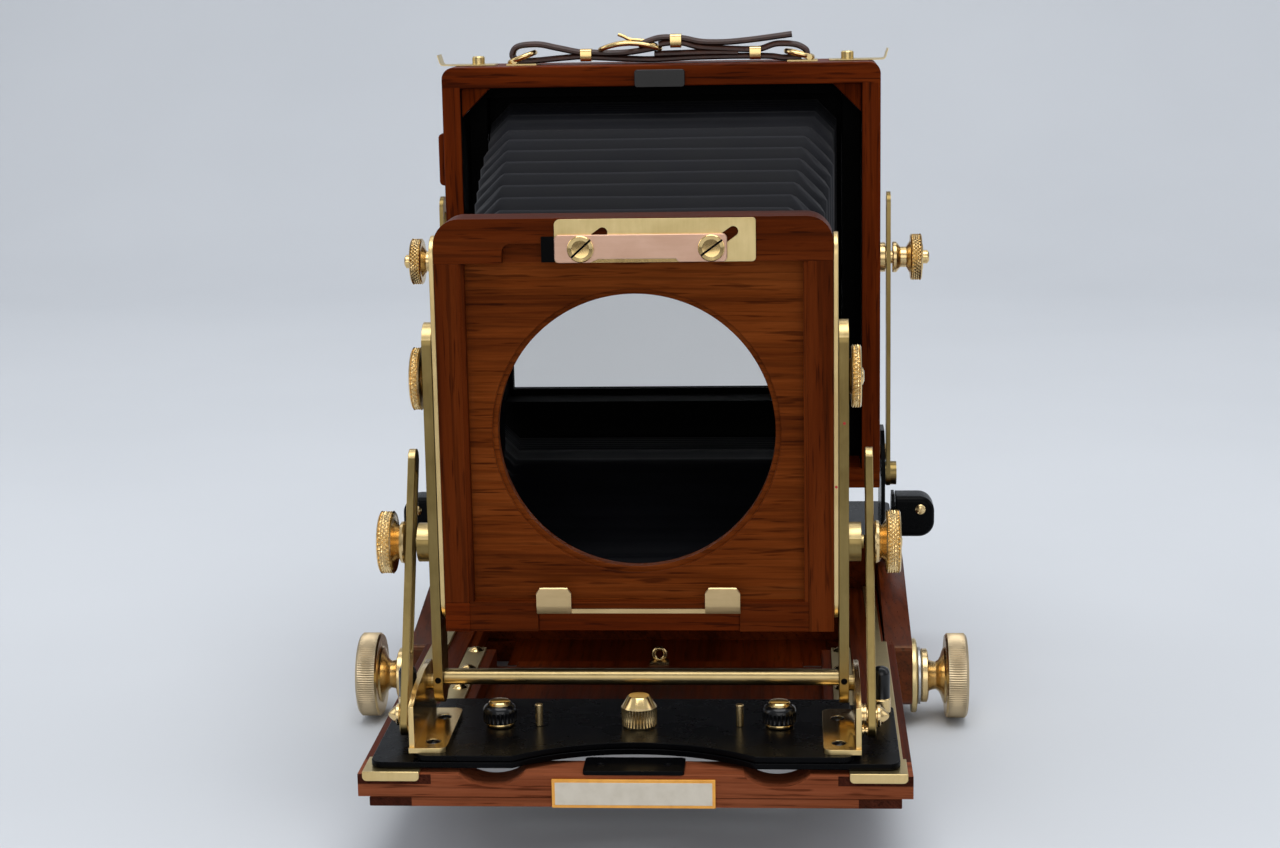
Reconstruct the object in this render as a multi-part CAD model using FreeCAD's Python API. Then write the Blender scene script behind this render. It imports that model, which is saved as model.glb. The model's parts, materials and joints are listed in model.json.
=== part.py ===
import FreeCAD, Part
import math
import os

os.makedirs("parts", exist_ok=True)
V = FreeCAD.Vector

# Folding 4x5 in. field camera.  X right, Y to the rear, Z up, millimetres.
# Lengths below count Y from the front face of the lens frame and Z from the
# base's underside; each piece is then moved so that the origin is the mouth
# of the tripod socket.

# ---- driving dimensions -------------------------------------------------
ORIGIN_Y = 130.0        # tripod socket, behind the lens frame
LENS_Z = 120.0          # height of the lens axis
FRAME_W = 113.0         # lens frame, wood only
FRAME_Z0 = 61.6
FRAME_Z1 = 182.2
FRAME_T = 14.0
BOARD_W = 96.0          # lens board recess
BOARD_H = 99.0
PANEL_Y0 = 3.2
PANEL_Y1 = 8.0
HOLE_R = 40.0
HOLE_REBATE_R = 41.5

REAR_W = 150.6
REAR_Y0 = 153.0
REAR_Y1 = 183.0
REAR_Z0 = 69.2
REAR_Z1 = 217.7
REAR_ZC = 0.5 * (REAR_Z0 + REAR_Z1)
REAR_WALL = 6.4

PINION_Y = 107.0        # the bed folds about the pinion shaft
PINION_Z = 15.0
SHAFT_R = 3.0
BED_FRONT = -34.0
BED_REAR = 90.0
BED_W = 149.4
BED_Z0 = 20.4
BED_Z1 = 23.1
RAIL_W = 155.6          # focusing frame, over its side flanges
RAIL_Z0 = 23.4
RAIL_Z1 = 30.0
RAIL_REAR = 163.0
FLANGE_REAR = 93.0
TRACK_T = 1.0
CARR_Z0 = 31.3
CARR_T = 1.7
SWING_Z0 = 33.3
SWING_T = 1.6
SWING_TOP = SWING_Z0 + SWING_T
SWING_Y = -5.5

UP_X0 = 58.0            # uprights
UP_X1 = 60.8
UP_PIVOT_Y = 6.0
UP_PIVOT_Z = 44.5
UP_TOP = 152.0
ROD_Z = 46.6
TILT_Z = 135.6          # height of the upper knobs
LOW_KNOB_Z = 87.0
STRUT_X0 = 65.7
STRUT_X1 = 68.0
STRUT_PY = -14.0
STRUT_PZ = 41.0

PLATE_Z0 = 49.0         # black turntable under the rear frame
PLATE_T = 3.0
REAR_AXIS_Y = 173.0
REAR_AXIS_Z = 78.0
RSTRUT_PY = 165.0
RSTRUT_PZ = 72.0
LEVER_Y = 160.2
LEVER_Z = 58.3
RKNOB_Y = 168.0
RKNOB_Z = 149.0
BACK_CZ = REAR_ZC


# ---- helpers ------------------------------------------------------------
def block(x0, x1, y0, y1, z0, z1):
    return Part.makeBox(x1 - x0, y1 - y0, z1 - z0, V(x0, y0, z0))


def both(shape):
    return [shape, shape.mirror(V(0, 0, 0), V(1, 0, 0))]


def rod_x(x0, x1, y, z, r):
    return Part.makeCylinder(r, x1 - x0, V(x0, y, z), V(1, 0, 0))


def rod_y(y0, y1, x, z, r):
    return Part.makeCylinder(r, y1 - y0, V(x, y0, z), V(0, 1, 0))


def rod_z(z0, z1, x, y, r):
    return Part.makeCylinder(r, z1 - z0, V(x, y, z0), V(0, 0, 1))


def fuse(shapes):
    out = shapes[0]
    for s in shapes[1:]:
        out = out.fuse(s)
    return out.removeSplitter()


def prism(points, direction):
    pts = [V(*p) for p in points]
    return Part.Face(Part.makePolygon(pts + [pts[0]])).extrude(V(*direction))


def prism_x(yz, x0, x1):
    return prism([(x0, y, z) for y, z in yz], (x1 - x0, 0, 0))


def prism_y(xz, y0, y1):
    return prism([(x, y0, z) for x, z in xz], (0, y1 - y0, 0))


def lathe_x(profile, y, z, x_at, outward):
    """Turn (distance, radius) steps about X, from x_at towards outward."""
    pts = [V(x_at + outward * a, y, z + r) for a, r in profile]
    pts.append(V(x_at + outward * profile[-1][0], y, z))
    pts.insert(0, V(x_at + outward * profile[0][0], y, z))
    face = Part.Face(Part.makePolygon(pts + [pts[0]]))
    return face.revolve(V(x_at, y, z), V(1, 0, 0), 360)


def lathe_z(profile, x, y, z_at):
    pts = [V(x + r, y, z_at + a) for a, r in profile]
    pts.append(V(x, y, z_at + profile[-1][0]))
    pts.insert(0, V(x, y, z_at + profile[0][0]))
    face = Part.Face(Part.makePolygon(pts + [pts[0]]))
    return face.revolve(V(x, y, z_at), V(0, 0, 1), 360)


def edges_along(shape, axis, test):
    """Straight edges parallel to an axis whose midpoint passes the test."""
    found = []
    for e in shape.Edges:
        if len(e.Vertexes) != 2:
            continue
        d = e.Vertexes[1].Point - e.Vertexes[0].Point
        if d.Length < 0.2:
            continue
        d.normalize()
        comp = {"x": d.x, "y": d.y, "z": d.z}[axis]
        if abs(abs(comp) - 1.0) < 1e-4:
            m = (e.Vertexes[0].Point + e.Vertexes[1].Point) * 0.5
            if test(m):
                found.append(e)
    return found


def rounded(shape, axis, r, test):
    return shape.makeFillet(r, edges_along(shape, axis, test))


def slot_bar(x0, x1, a, b, width, slot_from=None, slot_to=None, slot_w=0.0):
    """Flat bar in a YZ plane from a to b with round ends and a long slot."""
    ay, az = a
    by, bz = b
    length = math.hypot(by - ay, bz - az)
    uy = (by - ay) / length
    uz = (bz - az) / length
    ny = -uz
    nz = uy
    h = width / 2.0

    def strip(s, t, half):
        pts = [
            (ay + uy * s + ny * half, az + uz * s + nz * half),
            (ay + uy * t + ny * half, az + uz * t + nz * half),
            (ay + uy * t - ny * half, az + uz * t - nz * half),
            (ay + uy * s - ny * half, az + uz * s - nz * half),
        ]
        mid = prism_x(pts, x0, x1)
        e0 = rod_x(x0, x1, ay + uy * s, az + uz * s, half)
        e1 = rod_x(x0, x1, ay + uy * t, az + uz * t, half)
        return mid.fuse(e0).fuse(e1)

    bar = strip(0.0, length, h)
    if slot_w:
        cut = strip(slot_from, slot_to, slot_w / 2.0)
        bar = bar.cut(cut)
    return bar.removeSplitter()


def save(name, shape):
    shapes = shape if isinstance(shape, list) else [shape]
    solids = []
    for s in shapes:
        solids += s.Solids
    out = solids[0] if len(solids) == 1 else Part.makeCompound(solids)
    out = out.translated(V(0, -ORIGIN_Y, 0))
    out.exportStep("parts/%s.step" % name)


def pair(left_name, right_name, right_shape):
    save(right_name, right_shape)
    save(left_name, right_shape.mirror(V(0, 0, 0), V(1, 0, 0)))


# ---- base ---------------------------------------------------------------
# Floor, raised rear block and a low cross beam between the bed rails.
base = fuse([
    block(-57, 57, 95, 172, 0, 8),
    block(-75, 75, 95, 100, 0, 8),
    block(-75, 75, 172, 212, 0, 46),
    block(-75, 75, 170, 172, 0, 8),
    block(-48, 48, 93, 100, 0, 22),
])
base = base.cut(block(-36, 36, 104, 156, -1, 3))
base = base.cut(rod_z(-1, 9, 0, ORIGIN_Y, 8.2))
save("base_body", base)

CHEEK = [(94.8, 7.7), (94.8, 28.5), (165, 40.5), (212, 40.5), (212, 7.7)]
cheek = prism_x(CHEEK, 75.0, 84.0)
cheek = rounded(cheek, "x", 3.5, lambda m: m.z < 8 or (m.y > 211 and m.z > 30))
cheek = rounded(cheek, "x", 2.0, lambda m: m.y < 94.9 and 20 < m.z < 29)
cheek = cheek.cut(rod_x(74, 85, PINION_Y, PINION_Z, SHAFT_R + 0.5))
save("cheeks", both(cheek))

ring = rod_x(84.0, 85.9, PINION_Y, PINION_Z, 12.4)
ring = ring.cut(rod_x(83, 87, PINION_Y, PINION_Z, SHAFT_R + 0.08))
ring = ring.makeChamfer(0.5, [e for e in ring.Edges
                              if e.Curve.TypeId == "Part::GeomCircle"
                              and abs(e.Curve.Radius - 12.4) < 0.01
                              and e.BoundBox.XMin > 85])
save("bearing_plates", both(ring))

plate = block(-35.7, 35.7, 104.3, 155.7, 0, 3)
plate = rounded(plate, "z", 4.0, lambda m: True)
bush = rod_z(2.5, 8, 0, ORIGIN_Y, 8.0)
plate = plate.fuse(bush).cut(rod_z(-1, 9, 0, ORIGIN_Y, 4.76))
for sx in (-28, 28):
    for sy in (111, 149):
        plate = plate.cut(Part.makeCone(3.4, 1.7, 1.7, V(sx, sy, 0), V(0, 0, 1)))
        plate = plate.cut(rod_z(-1, 4, sx, sy, 1.7))
save("tripod_plate", plate)

eye = Part.makeTorus(1.9, 0.65, V(0, 97.5, 25.2), V(0, 1, 0))
foot = block(-3.2, 3.2, 94.5, 98.5, 22, 23.2)
save("bed_catch_ring", fuse([foot, eye]))

rear_bed = block(-80, 80, 172, 210, 46, 48.6)
rear_bed = rounded(rear_bed, "z", 3.0, lambda m: True)
spindle = rod_z(46.0, PLATE_Z0 + PLATE_T + 0.3, 0, 190, 3.7)
cap = rod_z(PLATE_Z0 + PLATE_T + 0.3, PLATE_Z0 + PLATE_T + 3.0, 0, 190, 8.0)
cap = cap.makeChamfer(0.7, [e for e in cap.Edges if e.BoundBox.ZMin > 54.9])
save("rear_bed_plate", fuse([rear_bed, spindle, cap]))

# ---- rear turntable and its side brackets ------------------------------
turn = block(-80.6, 80.6, 154, 206, PLATE_Z0, PLATE_Z0 + PLATE_T)
turn = rounded(turn, "z", 5.0, lambda m: True)
top = PLATE_Z0 + PLATE_T
arm = prism_x([(159, top - 1), (188, top - 1), (188, 70), (184, 84), (178, 87),
               (167, 87), (161, 83), (159, 72)], 76.0, 77.4)
arm = arm.cut(rod_x(75, 79, REAR_AXIS_Y, REAR_AXIS_Z, 2.7))
ear = prism_x([(154.5, top - 1), (167, top - 1), (167, 62), (164, 66), (157, 66),
               (154.5, 62)], 79.6, 80.6)
ear = ear.cut(rod_x(79, 81, LEVER_Y, LEVER_Z, 1.86))
turn = fuse([turn] + both(arm) + both(ear))
turn = turn.cut(rod_z(45, 55, 0, 190, 4.0))
save("rear_turntable", turn)

lever = block(81.0, 94.6, 154.0, 166.5, 51.0, 65.6)
lever = rounded(lever, "y", 5.5, lambda m: m.x > 90)
lever = rounded(lever, "x", 2.0, lambda m: True)
lever = lever.fuse(rod_x(79.4, 81.5, LEVER_Y, LEVER_Z, 1.8))
save("rear_levers", both(lever))

# ---- rear frame ---------------------------------------------------------
hw = REAR_W / 2.0
rear = block(-hw, hw, REAR_Y0, REAR_Y1, REAR_Z0, REAR_Z1)
rear = rounded(rear, "y", 4.0, lambda m: m.z > REAR_Z1 - 1)
inner = hw - REAR_WALL
rear = rear.cut(block(-inner, inner, REAR_Y0 - 1, 174.0, REAR_Z0 + 7, REAR_Z1 - 7.2))
rear = rear.cut(block(-62.5, 62.5, 170, REAR_Y1 + 1, REAR_ZC - 62.5, REAR_ZC + 62.5))
tri = prism_y([(inner, REAR_Z1 - 7.2), (inner - 10, REAR_Z1 - 7.2),
               (inner, REAR_Z1 - 17.2)], 156, 160)
bump = block(-77.5, -75.3, 156, 178, 177, 195)
bump = rounded(bump, "y", 1.5, lambda m: m.x < -77)
save("rear_frame", fuse([rear, bump] + both(tri)))

catch = block(-8.6, 8.6, 150.9, 152.8, 210.2, 216.2)
catch = rounded(catch, "y", 1.0, lambda m: True)
save("rear_catch", catch)

pins = fuse([rod_x(75.3, 78.0, REAR_AXIS_Y, REAR_AXIS_Z, 2.5),
             rod_x(77.7, 79.2, REAR_AXIS_Y, REAR_AXIS_Z, 3.0)])
save("rear_tilt_pins", both(pins))

rstrut = slot_bar(77.9, 79.3, (RSTRUT_PY, RSTRUT_PZ), (RSTRUT_PY + 3.9, 167.5), 9.0,
                  56.0, 92.0, 5.6)
rstrut = rstrut.cut(rod_x(77, 80, REAR_AXIS_Y, REAR_AXIS_Z, 5.4))
boss = rod_x(77.6, 81.5, RSTRUT_PY, RSTRUT_PZ, 4.2)
save("rear_struts", both(fuse([rstrut, boss])))

RK = [(0.0, 5.2), (2.2, 5.2), (2.2, 2.3), (4.6, 2.3), (4.6, 5.4), (6.2, 5.4),
      (7.4, 3.6), (9.4, 3.6), (10.8, 6.0), (10.8, 8.2), (14.6, 8.2), (15.2, 7.4),
      (15.2, 2.4), (16.8, 2.4), (17.4, 1.6)]
pair("rear_knob_left", "rear_knob_right",
     lathe_x(RK, RKNOB_Y, RKNOB_Z, 75.4, 1))

# ---- back: fixed frame, spring back and ground glass --------------------
back = block(-72, 72, 183.0, 198, BACK_CZ - 71, BACK_CZ + 71)
back = rounded(back, "y", 3.0, lambda m: True)
back = back.cut(block(-60.5, 60.5, 182, 199, BACK_CZ - 48.5, BACK_CZ + 48.5))
save("back_frame", back)

gg = block(-68, 68, 198.3, 208, BACK_CZ - 56, BACK_CZ + 56)
gg = rounded(gg, "y", 2.0, lambda m: True)
gg = gg.cut(block(-59, 59, 197, 209, BACK_CZ - 46.5, BACK_CZ + 46.5))
gg = gg.cut(block(-63, 63, 203.0, 209, BACK_CZ - 50.5, BACK_CZ + 50.5))
save("spring_back", gg)

glass = block(-62.8, 62.8, 203.0, 205.0, BACK_CZ - 50.3, BACK_CZ + 50.3)
save("ground_glass", glass)

springs = []
for sz in (-1, 1):
    zc = BACK_CZ + sz * 63.0
    pts = [(-52, 198.0), (-52, 199.2), (-30, 205.2), (30, 205.2), (52, 199.2), (52, 198.0),
           (29.5, 204.2), (-29.5, 204.2)]
    face = Part.Face(Part.makePolygon([V(x, y, zc - 3.5) for x, y in pts + [pts[0]]]))
    springs.append(face.extrude(V(0, 0, 7)))
save("leaf_springs", springs)

# ---- top fittings -------------------------------------------------------
strip = block(58, 77.6, 164, 174, REAR_Z1, REAR_Z1 + 1.0)
hook = prism_y([(76.4, REAR_Z1), (77.6, REAR_Z1), (78.6, REAR_Z1 + 4.2),
                (77.4, REAR_Z1 + 4.2)], 164, 174)
stud = rod_z(REAR_Z1, REAR_Z1 + 3.2, 64.3, 169, 2.2)
top_strip = fuse([strip, hook, stud])

saddle = block(43.5, 54.0, 163.5, 174.5, REAR_Z1, REAR_Z1 + 0.9)
hoop = fuse([
    rod_y(163.8, 174.2, 51.2, REAR_Z1 + 2.0, 1.15),
    rod_y(163.8, 174.2, 45.6, REAR_Z1 + 3.8, 1.15),
    block(45.6, 51.2, 163.8, 165.8, REAR_Z1 + 0.9, REAR_Z1 + 3.4),
    block(45.6, 51.2, 172.2, 174.2, REAR_Z1 + 0.9, REAR_Z1 + 3.4),
    saddle,
])
save("top_fittings", both(top_strip) + both(hoop))

strap_pts = [(-43, 222.6), (-20, 221.3), (0, 221.0), (20, 221.3), (43, 222.6),
             (47, 223.2), (47, 225.4), (36, 226.6), (0, 225.6), (-36, 226.6),
             (-47, 225.4), (-47, 223.2)]
strap = prism_y(strap_pts, 166.0, 172.0)
save("strap", strap)

buckle = block(-21, -1, 162.5, 175.5, 226.6, 227.9).cut(
    block(-18.5, -3.5, 165.0, 173.0, 226, 229))
buckle = rounded(buckle, "z", 4.0, lambda m: abs(m.x + 11) > 9.5)

bands = []
for cx in (-28.0, 4.5, 30.0):
    b = block(cx - 2.2, cx + 2.2, 164.4, 173.6, 220.3, 228.0)
    b = b.cut(block(cx - 3, cx + 3, 165.3, 172.7, 220.9, 227.4))
    bands.append(b)
save("strap_hardware", [buckle] + bands)

# ---- folding bed --------------------------------------------------------
bw = BED_W / 2.0
bed = block(-bw, bw, BED_FRONT + 0.4, BED_REAR, BED_Z0, BED_Z1)
bed = bed.cut(block(-49, 49, -21.5, 24, BED_Z0 - 1, BED_Z1 + 1))
for sx in (-1, 1):
    lo = min(sx * 63.2, sx * 69.8)
    hi = max(sx * 63.2, sx * 69.8)
    bed = bed.cut(block(lo, hi, -12, BED_REAR + 1, BED_Z0 - 1, BED_Z1 + 1))
inner_rail = block(53.8, 60.6, -21.5, BED_REAR, BED_Z0, 29.0)
bed = fuse([bed] + both(inner_rail))
save("bed_frame", bed)

guide = block(57.0, 63.2, -20.5, BED_REAR - 1, 29.0, 30.0)

domes = []
for i in range(6):
    y = -14 + i * 20.0
    d = Part.makeSphere(3.4, V(60, y, 27.75)).common(block(55, 65, y - 5, y + 5, 30.0, 32))
    domes.append(d)
save("bed_guides", both(fuse([guide] + domes)))

ear = prism_x([(58, BED_Z0), (58, 16.5), (64, 12.5), (101, 12.5), (104, 9.8), (107, 9.0),
               (110, 9.8), (112.2, 12), (113, 15), (112.2, 18), (110, BED_Z0)], 71.0, 74.5)
ear = ear.cut(rod_x(70, 76, PINION_Y, PINION_Z, SHAFT_R + 0.3))
save("hinge_ears", both(ear))

slide = block(70.4, 73.4, 4, 88, BED_Z1 + 0.2, 24.6)
save("bed_slides", both(slide))

# ---- focusing frame -----------------------------------------------------
rw = RAIL_W / 2.0
front = block(-rw, rw, BED_FRONT, -22, RAIL_Z0, RAIL_Z1)
side = block(60.9, rw, -22.0, FLANGE_REAR, RAIL_Z0, RAIL_Z1)
tail = block(60.9, 74.4, FLANGE_REAR, RAIL_REAR, RAIL_Z0, RAIL_Z1)
rails = fuse([front] + both(side) + both(tail))
for sx in (-1, 1):
    lo = min(sx * 60, sx * 63.5)
    hi = max(sx * 60, sx * 63.5)
    rails = rails.cut(block(lo, hi, -21.8, RAIL_REAR + 1, 28.7, 31))
    lo = min(sx * 70.1, sx * 73.7)
    hi = max(sx * 70.1, sx * 73.7)
    rails = rails.cut(block(lo, hi, -21.8, RAIL_REAR + 1, RAIL_Z0 - 1, 24.9))
SCOOP_R = 14.0
for sx in (-40.0, 40.0):
    rails = rails.cut(rod_y(BED_FRONT - 1, -21, sx, RAIL_Z1 + SCOOP_R - 3.6, SCOOP_R))
save("focus_frame", rails)

track = block(69.6, 75.4, BED_FRONT, FLANGE_REAR, RAIL_Z1, RAIL_Z1 + TRACK_T)
track_rear = block(69.6, 73.6, FLANGE_REAR, RAIL_REAR - 1, RAIL_Z1, RAIL_Z1 + TRACK_T)
bent = block(60.2, 76.3, BED_FRONT - 1.0, BED_FRONT, 28.2, RAIL_Z1 + TRACK_T)
bent = rounded(bent, "y", 1.3, lambda m: m.z < 29)
lap = block(60.2, 76.3, BED_FRONT, -22.2, RAIL_Z1, RAIL_Z1 + TRACK_T)
track = fuse([track, track_rear, bent, lap])

rack = block(64.0, 69.0, 101, RAIL_REAR - 0.5, 21.2, RAIL_Z0)
n = 24
for i in range(n):
    y = 103.0 + i * 2.5
    rack = rack.cut(prism_x([(y - 0.9, 21.0), (y + 0.9, 21.0), (y + 0.45, 22.4),
                             (y - 0.45, 22.4)], 63, 70))
save("tracks", both(track) + both(rack))

strike = block(-14.2, 14.2, BED_FRONT - 0.3, -22.4, RAIL_Z1, RAIL_Z1 + 1.25)
strike = rounded(strike, "z", 1.2, lambda m: True)
for sx in (-9.5, 9.5):
    strike = strike.cut(rod_z(31.0, 32, sx, -28.5, 1.1))
save("latch_strike", strike)

name = block(-22.9, 22.9, BED_FRONT - 0.8, BED_FRONT, 20.6, 28.9)
save("name_plate", name)

# ---- pinion shaft and focusing knobs ------------------------------------
shaft = rod_x(-96, 96, PINION_Y, PINION_Z, SHAFT_R)
gears = []
for gx in (-69.0, 64.0):
    g = rod_x(gx, gx + 5, PINION_Y, PINION_Z, 5.6)
    for k in range(12):
        a = math.radians(30.0 * k + 15)
        cy = PINION_Y + 5.9 * math.cos(a)
        cz = PINION_Z + 5.9 * math.sin(a)
        g = g.cut(rod_x(gx - 1, gx + 6, cy, cz, 0.95))
    gears.append(g)
shaft = fuse([shaft] + gears)

FK = [(0.0, 8.9), (0.5, 9.0), (2.0, 9.0), (2.4, 8.2), (2.4, 5.6), (5.0, 4.6), (6.6, 6.2),
      (8.2, 9.6), (8.2, 13.6), (8.8, 14.2), (14.6, 14.2), (15.4, 13.4), (16.0, 9.0),
      (16.0, 0.01)]
knob = lathe_x(FK, PINION_Y, PINION_Z, 87.3, 1)
knob = knob.cut(rod_x(86, 96.05, PINION_Y, PINION_Z, SHAFT_R))
save("focus_knobs", both(knob))
wash = rod_x(86.2, 87.1, PINION_Y, PINION_Z, 9.6)
wash = wash.cut(rod_x(85, 88, PINION_Y, PINION_Z, SHAFT_R))
save("pinion_shaft", [shaft] + both(wash))

# ---- front carriage -----------------------------------------------------
def plate_with_arch(half_w, y0, y1, z0, t, half_arch, depth, corner):
    p = block(-half_w, half_w, y0, y1, z0, z0 + t)
    p = rounded(p, "z", corner, lambda m: True)
    r = (half_arch ** 2 + depth ** 2) / (2.0 * depth)
    p = p.cut(rod_z(z0 - 1, z0 + t + 1, 0, y0 + depth - r, r))
    return p


carriage = plate_with_arch(74.4, -32.5, 20.0, CARR_Z0, CARR_T, 34.0, 12.0, 3.5)
carriage = carriage.cut(rod_z(30, 34, 0, SWING_Y, 3.1))
save("carriage_plate", carriage)

POST = [(0, 3.0), (4.8, 3.0), (5.0, 2.75), (12.6, 2.75), (14.0, 2.1), (14.4, 1.2)]
pair("lock_post_left", "lock_post_right",
     lathe_z(POST, 70.4, 12.0, CARR_Z0 + CARR_T + 0.1))

# ---- swinging base of the front standard --------------------------------
swing = plate_with_arch(61.4, -32.4, 19.5, SWING_Z0, SWING_T, 34.0, 12.0, 3.0)
swing = swing.cut(rod_z(30, 37, 0, SWING_Y, 3.1))
save("swing_plate", swing)

foot = block(53.0, 63.6, -30.5, 6.0, SWING_TOP, SWING_TOP + 1.5)
foot = rounded(foot, "z", 2.5, lambda m: m.x < 54)
leg = prism_x([(-29.0, SWING_TOP), (13.0, SWING_TOP), (13.0, 48.6), (6.0, 51.4),
               (-6.0, 52.0), (-20.0, 50.6), (-29.0, 48.0)], 62.1, 63.6)
bracket = fuse([foot, leg])
bracket = bracket.cut(rod_x(61, 65, UP_PIVOT_Y, UP_PIVOT_Z, 2.5))
for sy in (-24.5, -2.5):
    bracket = bracket.cut(rod_z(34, 37, 57.4, sy, 2.1))

STRUT_PIN = [(0.0, 3.4), (1.8, 3.4), (1.8, 2.2), (4.7, 2.2), (4.7, 4.2), (5.9, 4.2),
             (6.4, 3.0), (8.8, 0.6)]
strut_pin = lathe_x(STRUT_PIN, STRUT_PY, STRUT_PZ, 63.6, 1)
save("brackets", both(fuse([bracket, strut_pin])))

CK = [(0.0, 5.2), (6.2, 5.3), (9.0, 3.2)]
save("swing_knob", fuse([lathe_z(CK, 0, SWING_Y, SWING_TOP + 0.3),
                         rod_z(31.6, SWING_TOP + 0.5, 0, SWING_Y, 2.8)]))

DK = [(0.0, 4.2), (1.2, 4.2), (1.2, 4.9), (4.8, 4.9), (6.2, 4.1), (6.9, 3.2), (7.4, 3.0)]
pair("plate_knob_left", "plate_knob_right", lathe_z(DK, 40.6, SWING_Y, SWING_TOP + 0.2))

stops = [rod_z(SWING_TOP, 41.4, sx, SWING_Y, 1.15) for sx in (-29.2, 29.2)]
save("stop_pins", stops)

# ---- uprights -----------------------------------------------------------
upr = slot_bar(UP_X0, UP_X1, (UP_PIVOT_Y, UP_PIVOT_Z), (UP_PIVOT_Y, UP_TOP - 6), 12.0)
upr = upr.cut(rod_x(57, 62, UP_PIVOT_Y, TILT_Z, 2.35))
save("cross_rod", rod_x(-UP_X0, UP_X0, UP_PIVOT_Y - 1.6, ROD_Z, 2.4))
SO = [(0.0, 5.7), (3.6, 5.7), (3.6, 2.0), (4.4, 2.0)]
stand = lathe_x(SO, UP_PIVOT_Y, LOW_KNOB_Z, UP_X1, 1)
pin = rod_x(UP_X1, 63.4, UP_PIVOT_Y, UP_PIVOT_Z, 2.4)
save("uprights", both(fuse([upr, stand, pin])))

LK = [(0.0, 6.2), (1.2, 6.0), (2.0, 4.6), (3.2, 6.6), (3.2, 8.9), (3.6, 9.3), (7.0, 9.3),
      (7.4, 8.7), (7.4, 2.4), (8.0, 1.2)]
pair("lower_knob_left", "lower_knob_right",
     lathe_x(LK, UP_PIVOT_Y, LOW_KNOB_Z, STRUT_X1 + 0.3, 1))

UK = [(0.0, 2.1), (2.8, 2.1), (2.8, 5.2), (3.5, 5.2), (3.5, 8.8), (3.9, 9.2), (5.9, 9.2),
      (6.3, 8.7), (6.3, 2.4), (6.8, 2.2), (7.2, 1.0)]
pair("upper_knob_left", "upper_knob_right",
     lathe_x(UK, UP_PIVOT_Y, TILT_Z, 58.1, 1))

# ---- front struts -------------------------------------------------------
du = UP_PIVOT_Y - STRUT_PY
dz = LOW_KNOB_Z - STRUT_PZ
dl = math.hypot(du, dz)
uy = du / dl
uz = dz / dl
tip = (STRUT_PY + uy * 74.5, STRUT_PZ + uz * 74.5)
tail_pt = (STRUT_PY - uy * 2.6, STRUT_PZ - uz * 2.6)
strut = slot_bar(STRUT_X0, STRUT_X1, tail_pt, tip, 7.0, 22.0, 72.0, 4.6)
strut = strut.cut(rod_x(65, 69, STRUT_PY, STRUT_PZ, 2.45))
save("struts", both(strut))

# ---- lens frame ---------------------------------------------------------
fw = FRAME_W / 2.0
lens = block(-fw, fw, 0, FRAME_T, FRAME_Z0, FRAME_Z1)
lens = rounded(lens, "y", 7.5, lambda m: m.z > FRAME_Z1 - 1)
hb = BOARD_W / 2.0
hh = BOARD_H / 2.0
lens = lens.cut(block(-hb, hb, -1, 6, LENS_Z - hh, LENS_Z + hh))
lens = lens.cut(block(-51.0, 51.0, PANEL_Y0, FRAME_T + 1, LENS_Z - 52.0, LENS_Z + 52.0))
lens = lens.cut(block(-29.3, 29.3, -1, 1.2, FRAME_Z0 - 1, 67.2))
notch = block(-37, -22.0, -1, 3.2, 169.0, 175.0)
notch = rounded(notch, "y", 2.5, lambda m: m.z > 174 and m.x < -30)
lens = lens.cut(notch)
save("lens_frame", lens)

panel = block(-50.9, 50.9, PANEL_Y0, PANEL_Y1, LENS_Z - 51.9, LENS_Z + 51.9)
panel = panel.cut(rod_y(0, 10, 0, LENS_Z, HOLE_R))
panel = panel.cut(rod_y(0, PANEL_Y0 + 1.2, 0, LENS_Z, HOLE_REBATE_R))
save("lens_panel", panel)

lboard = block(-50.8, 50.8, PANEL_Y1 + 0.1, FRAME_T, LENS_Z - 51.8, LENS_Z + 51.8)
lboard = lboard.cut(block(-46.5, 46.5, 7, 15, LENS_Z - 46.5, LENS_Z + 46.5))
save("bellows_front_board", lboard)

sp = slot_bar(fw, fw + 1.35, (UP_PIVOT_Y, 70.5), (UP_PIVOT_Y, 171.0), 12.0, 6.0, 94.0, 5.4)
save("side_plates", both(sp))

gb = slot_bar(fw + 0.1, fw + 1.4, (UP_PIVOT_Y, TILT_Z - 4.0),
              (UP_PIVOT_Y, TILT_Z + 4.0), 4.8)
save("guide_blocks", both(gb))

BAR_Y0 = -2.4
BAR_Y1 = -1.1
bar = block(-21.8, 26.8, BAR_Y0, BAR_Y1, 169.8, 177.7)
bar = rounded(bar, "y", 1.0, lambda m: True)
lp = block(-21.9, 34.8, -0.95, -0.1, 169.7, 182.0)
lscrews = []
for cx in (-14.3, 22.4):
    bar = bar.cut(rod_y(-4, 0, cx, 173.8, 1.6))
    lp = lp.cut(prism_y([(cx - 1.2, 172.0), (cx + 1.6, 172.0), (cx + 9.4, 178.2),
                         (cx + 9.4, 180.6), (cx + 6.6, 180.6), (cx - 1.8, 175.6),
                         (cx - 1.8, 172.6)], -2, 1))
    h = rod_y(-3.7, BAR_Y0, cx, 173.8, 3.8)
    h = h.cut(block(cx - 4, cx + 4, -3.8, -3.1, 173.8 - 0.45, 173.8 + 0.45))
    lscrews.append(fuse([h, rod_y(BAR_Y0, 0, cx, 173.8, 1.35)]))
save("latch_bar", fuse([bar] + lscrews))
tab = block(-25.6, -21.9, -3.4, -0.1, 170.1, 178.2)
save("latch_plate", fuse([lp, rounded(tab, "y", 0.6, lambda m: m.x < -25)]))

lip = [block(-29.5, 29.5, -1.0, 0, 67.4, 68.9)]
for sx in (-1, 1):
    lo = min(sx * 19.4, sx * 29.5)
    hi = max(sx * 19.4, sx * 29.5)
    t = block(lo, hi, -2.2, -1.0, 67.4, 75.3)
    lip.append(rounded(t, "y", 1.5, lambda m: m.z > 75))
save("lower_lip", fuse(lip))

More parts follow.
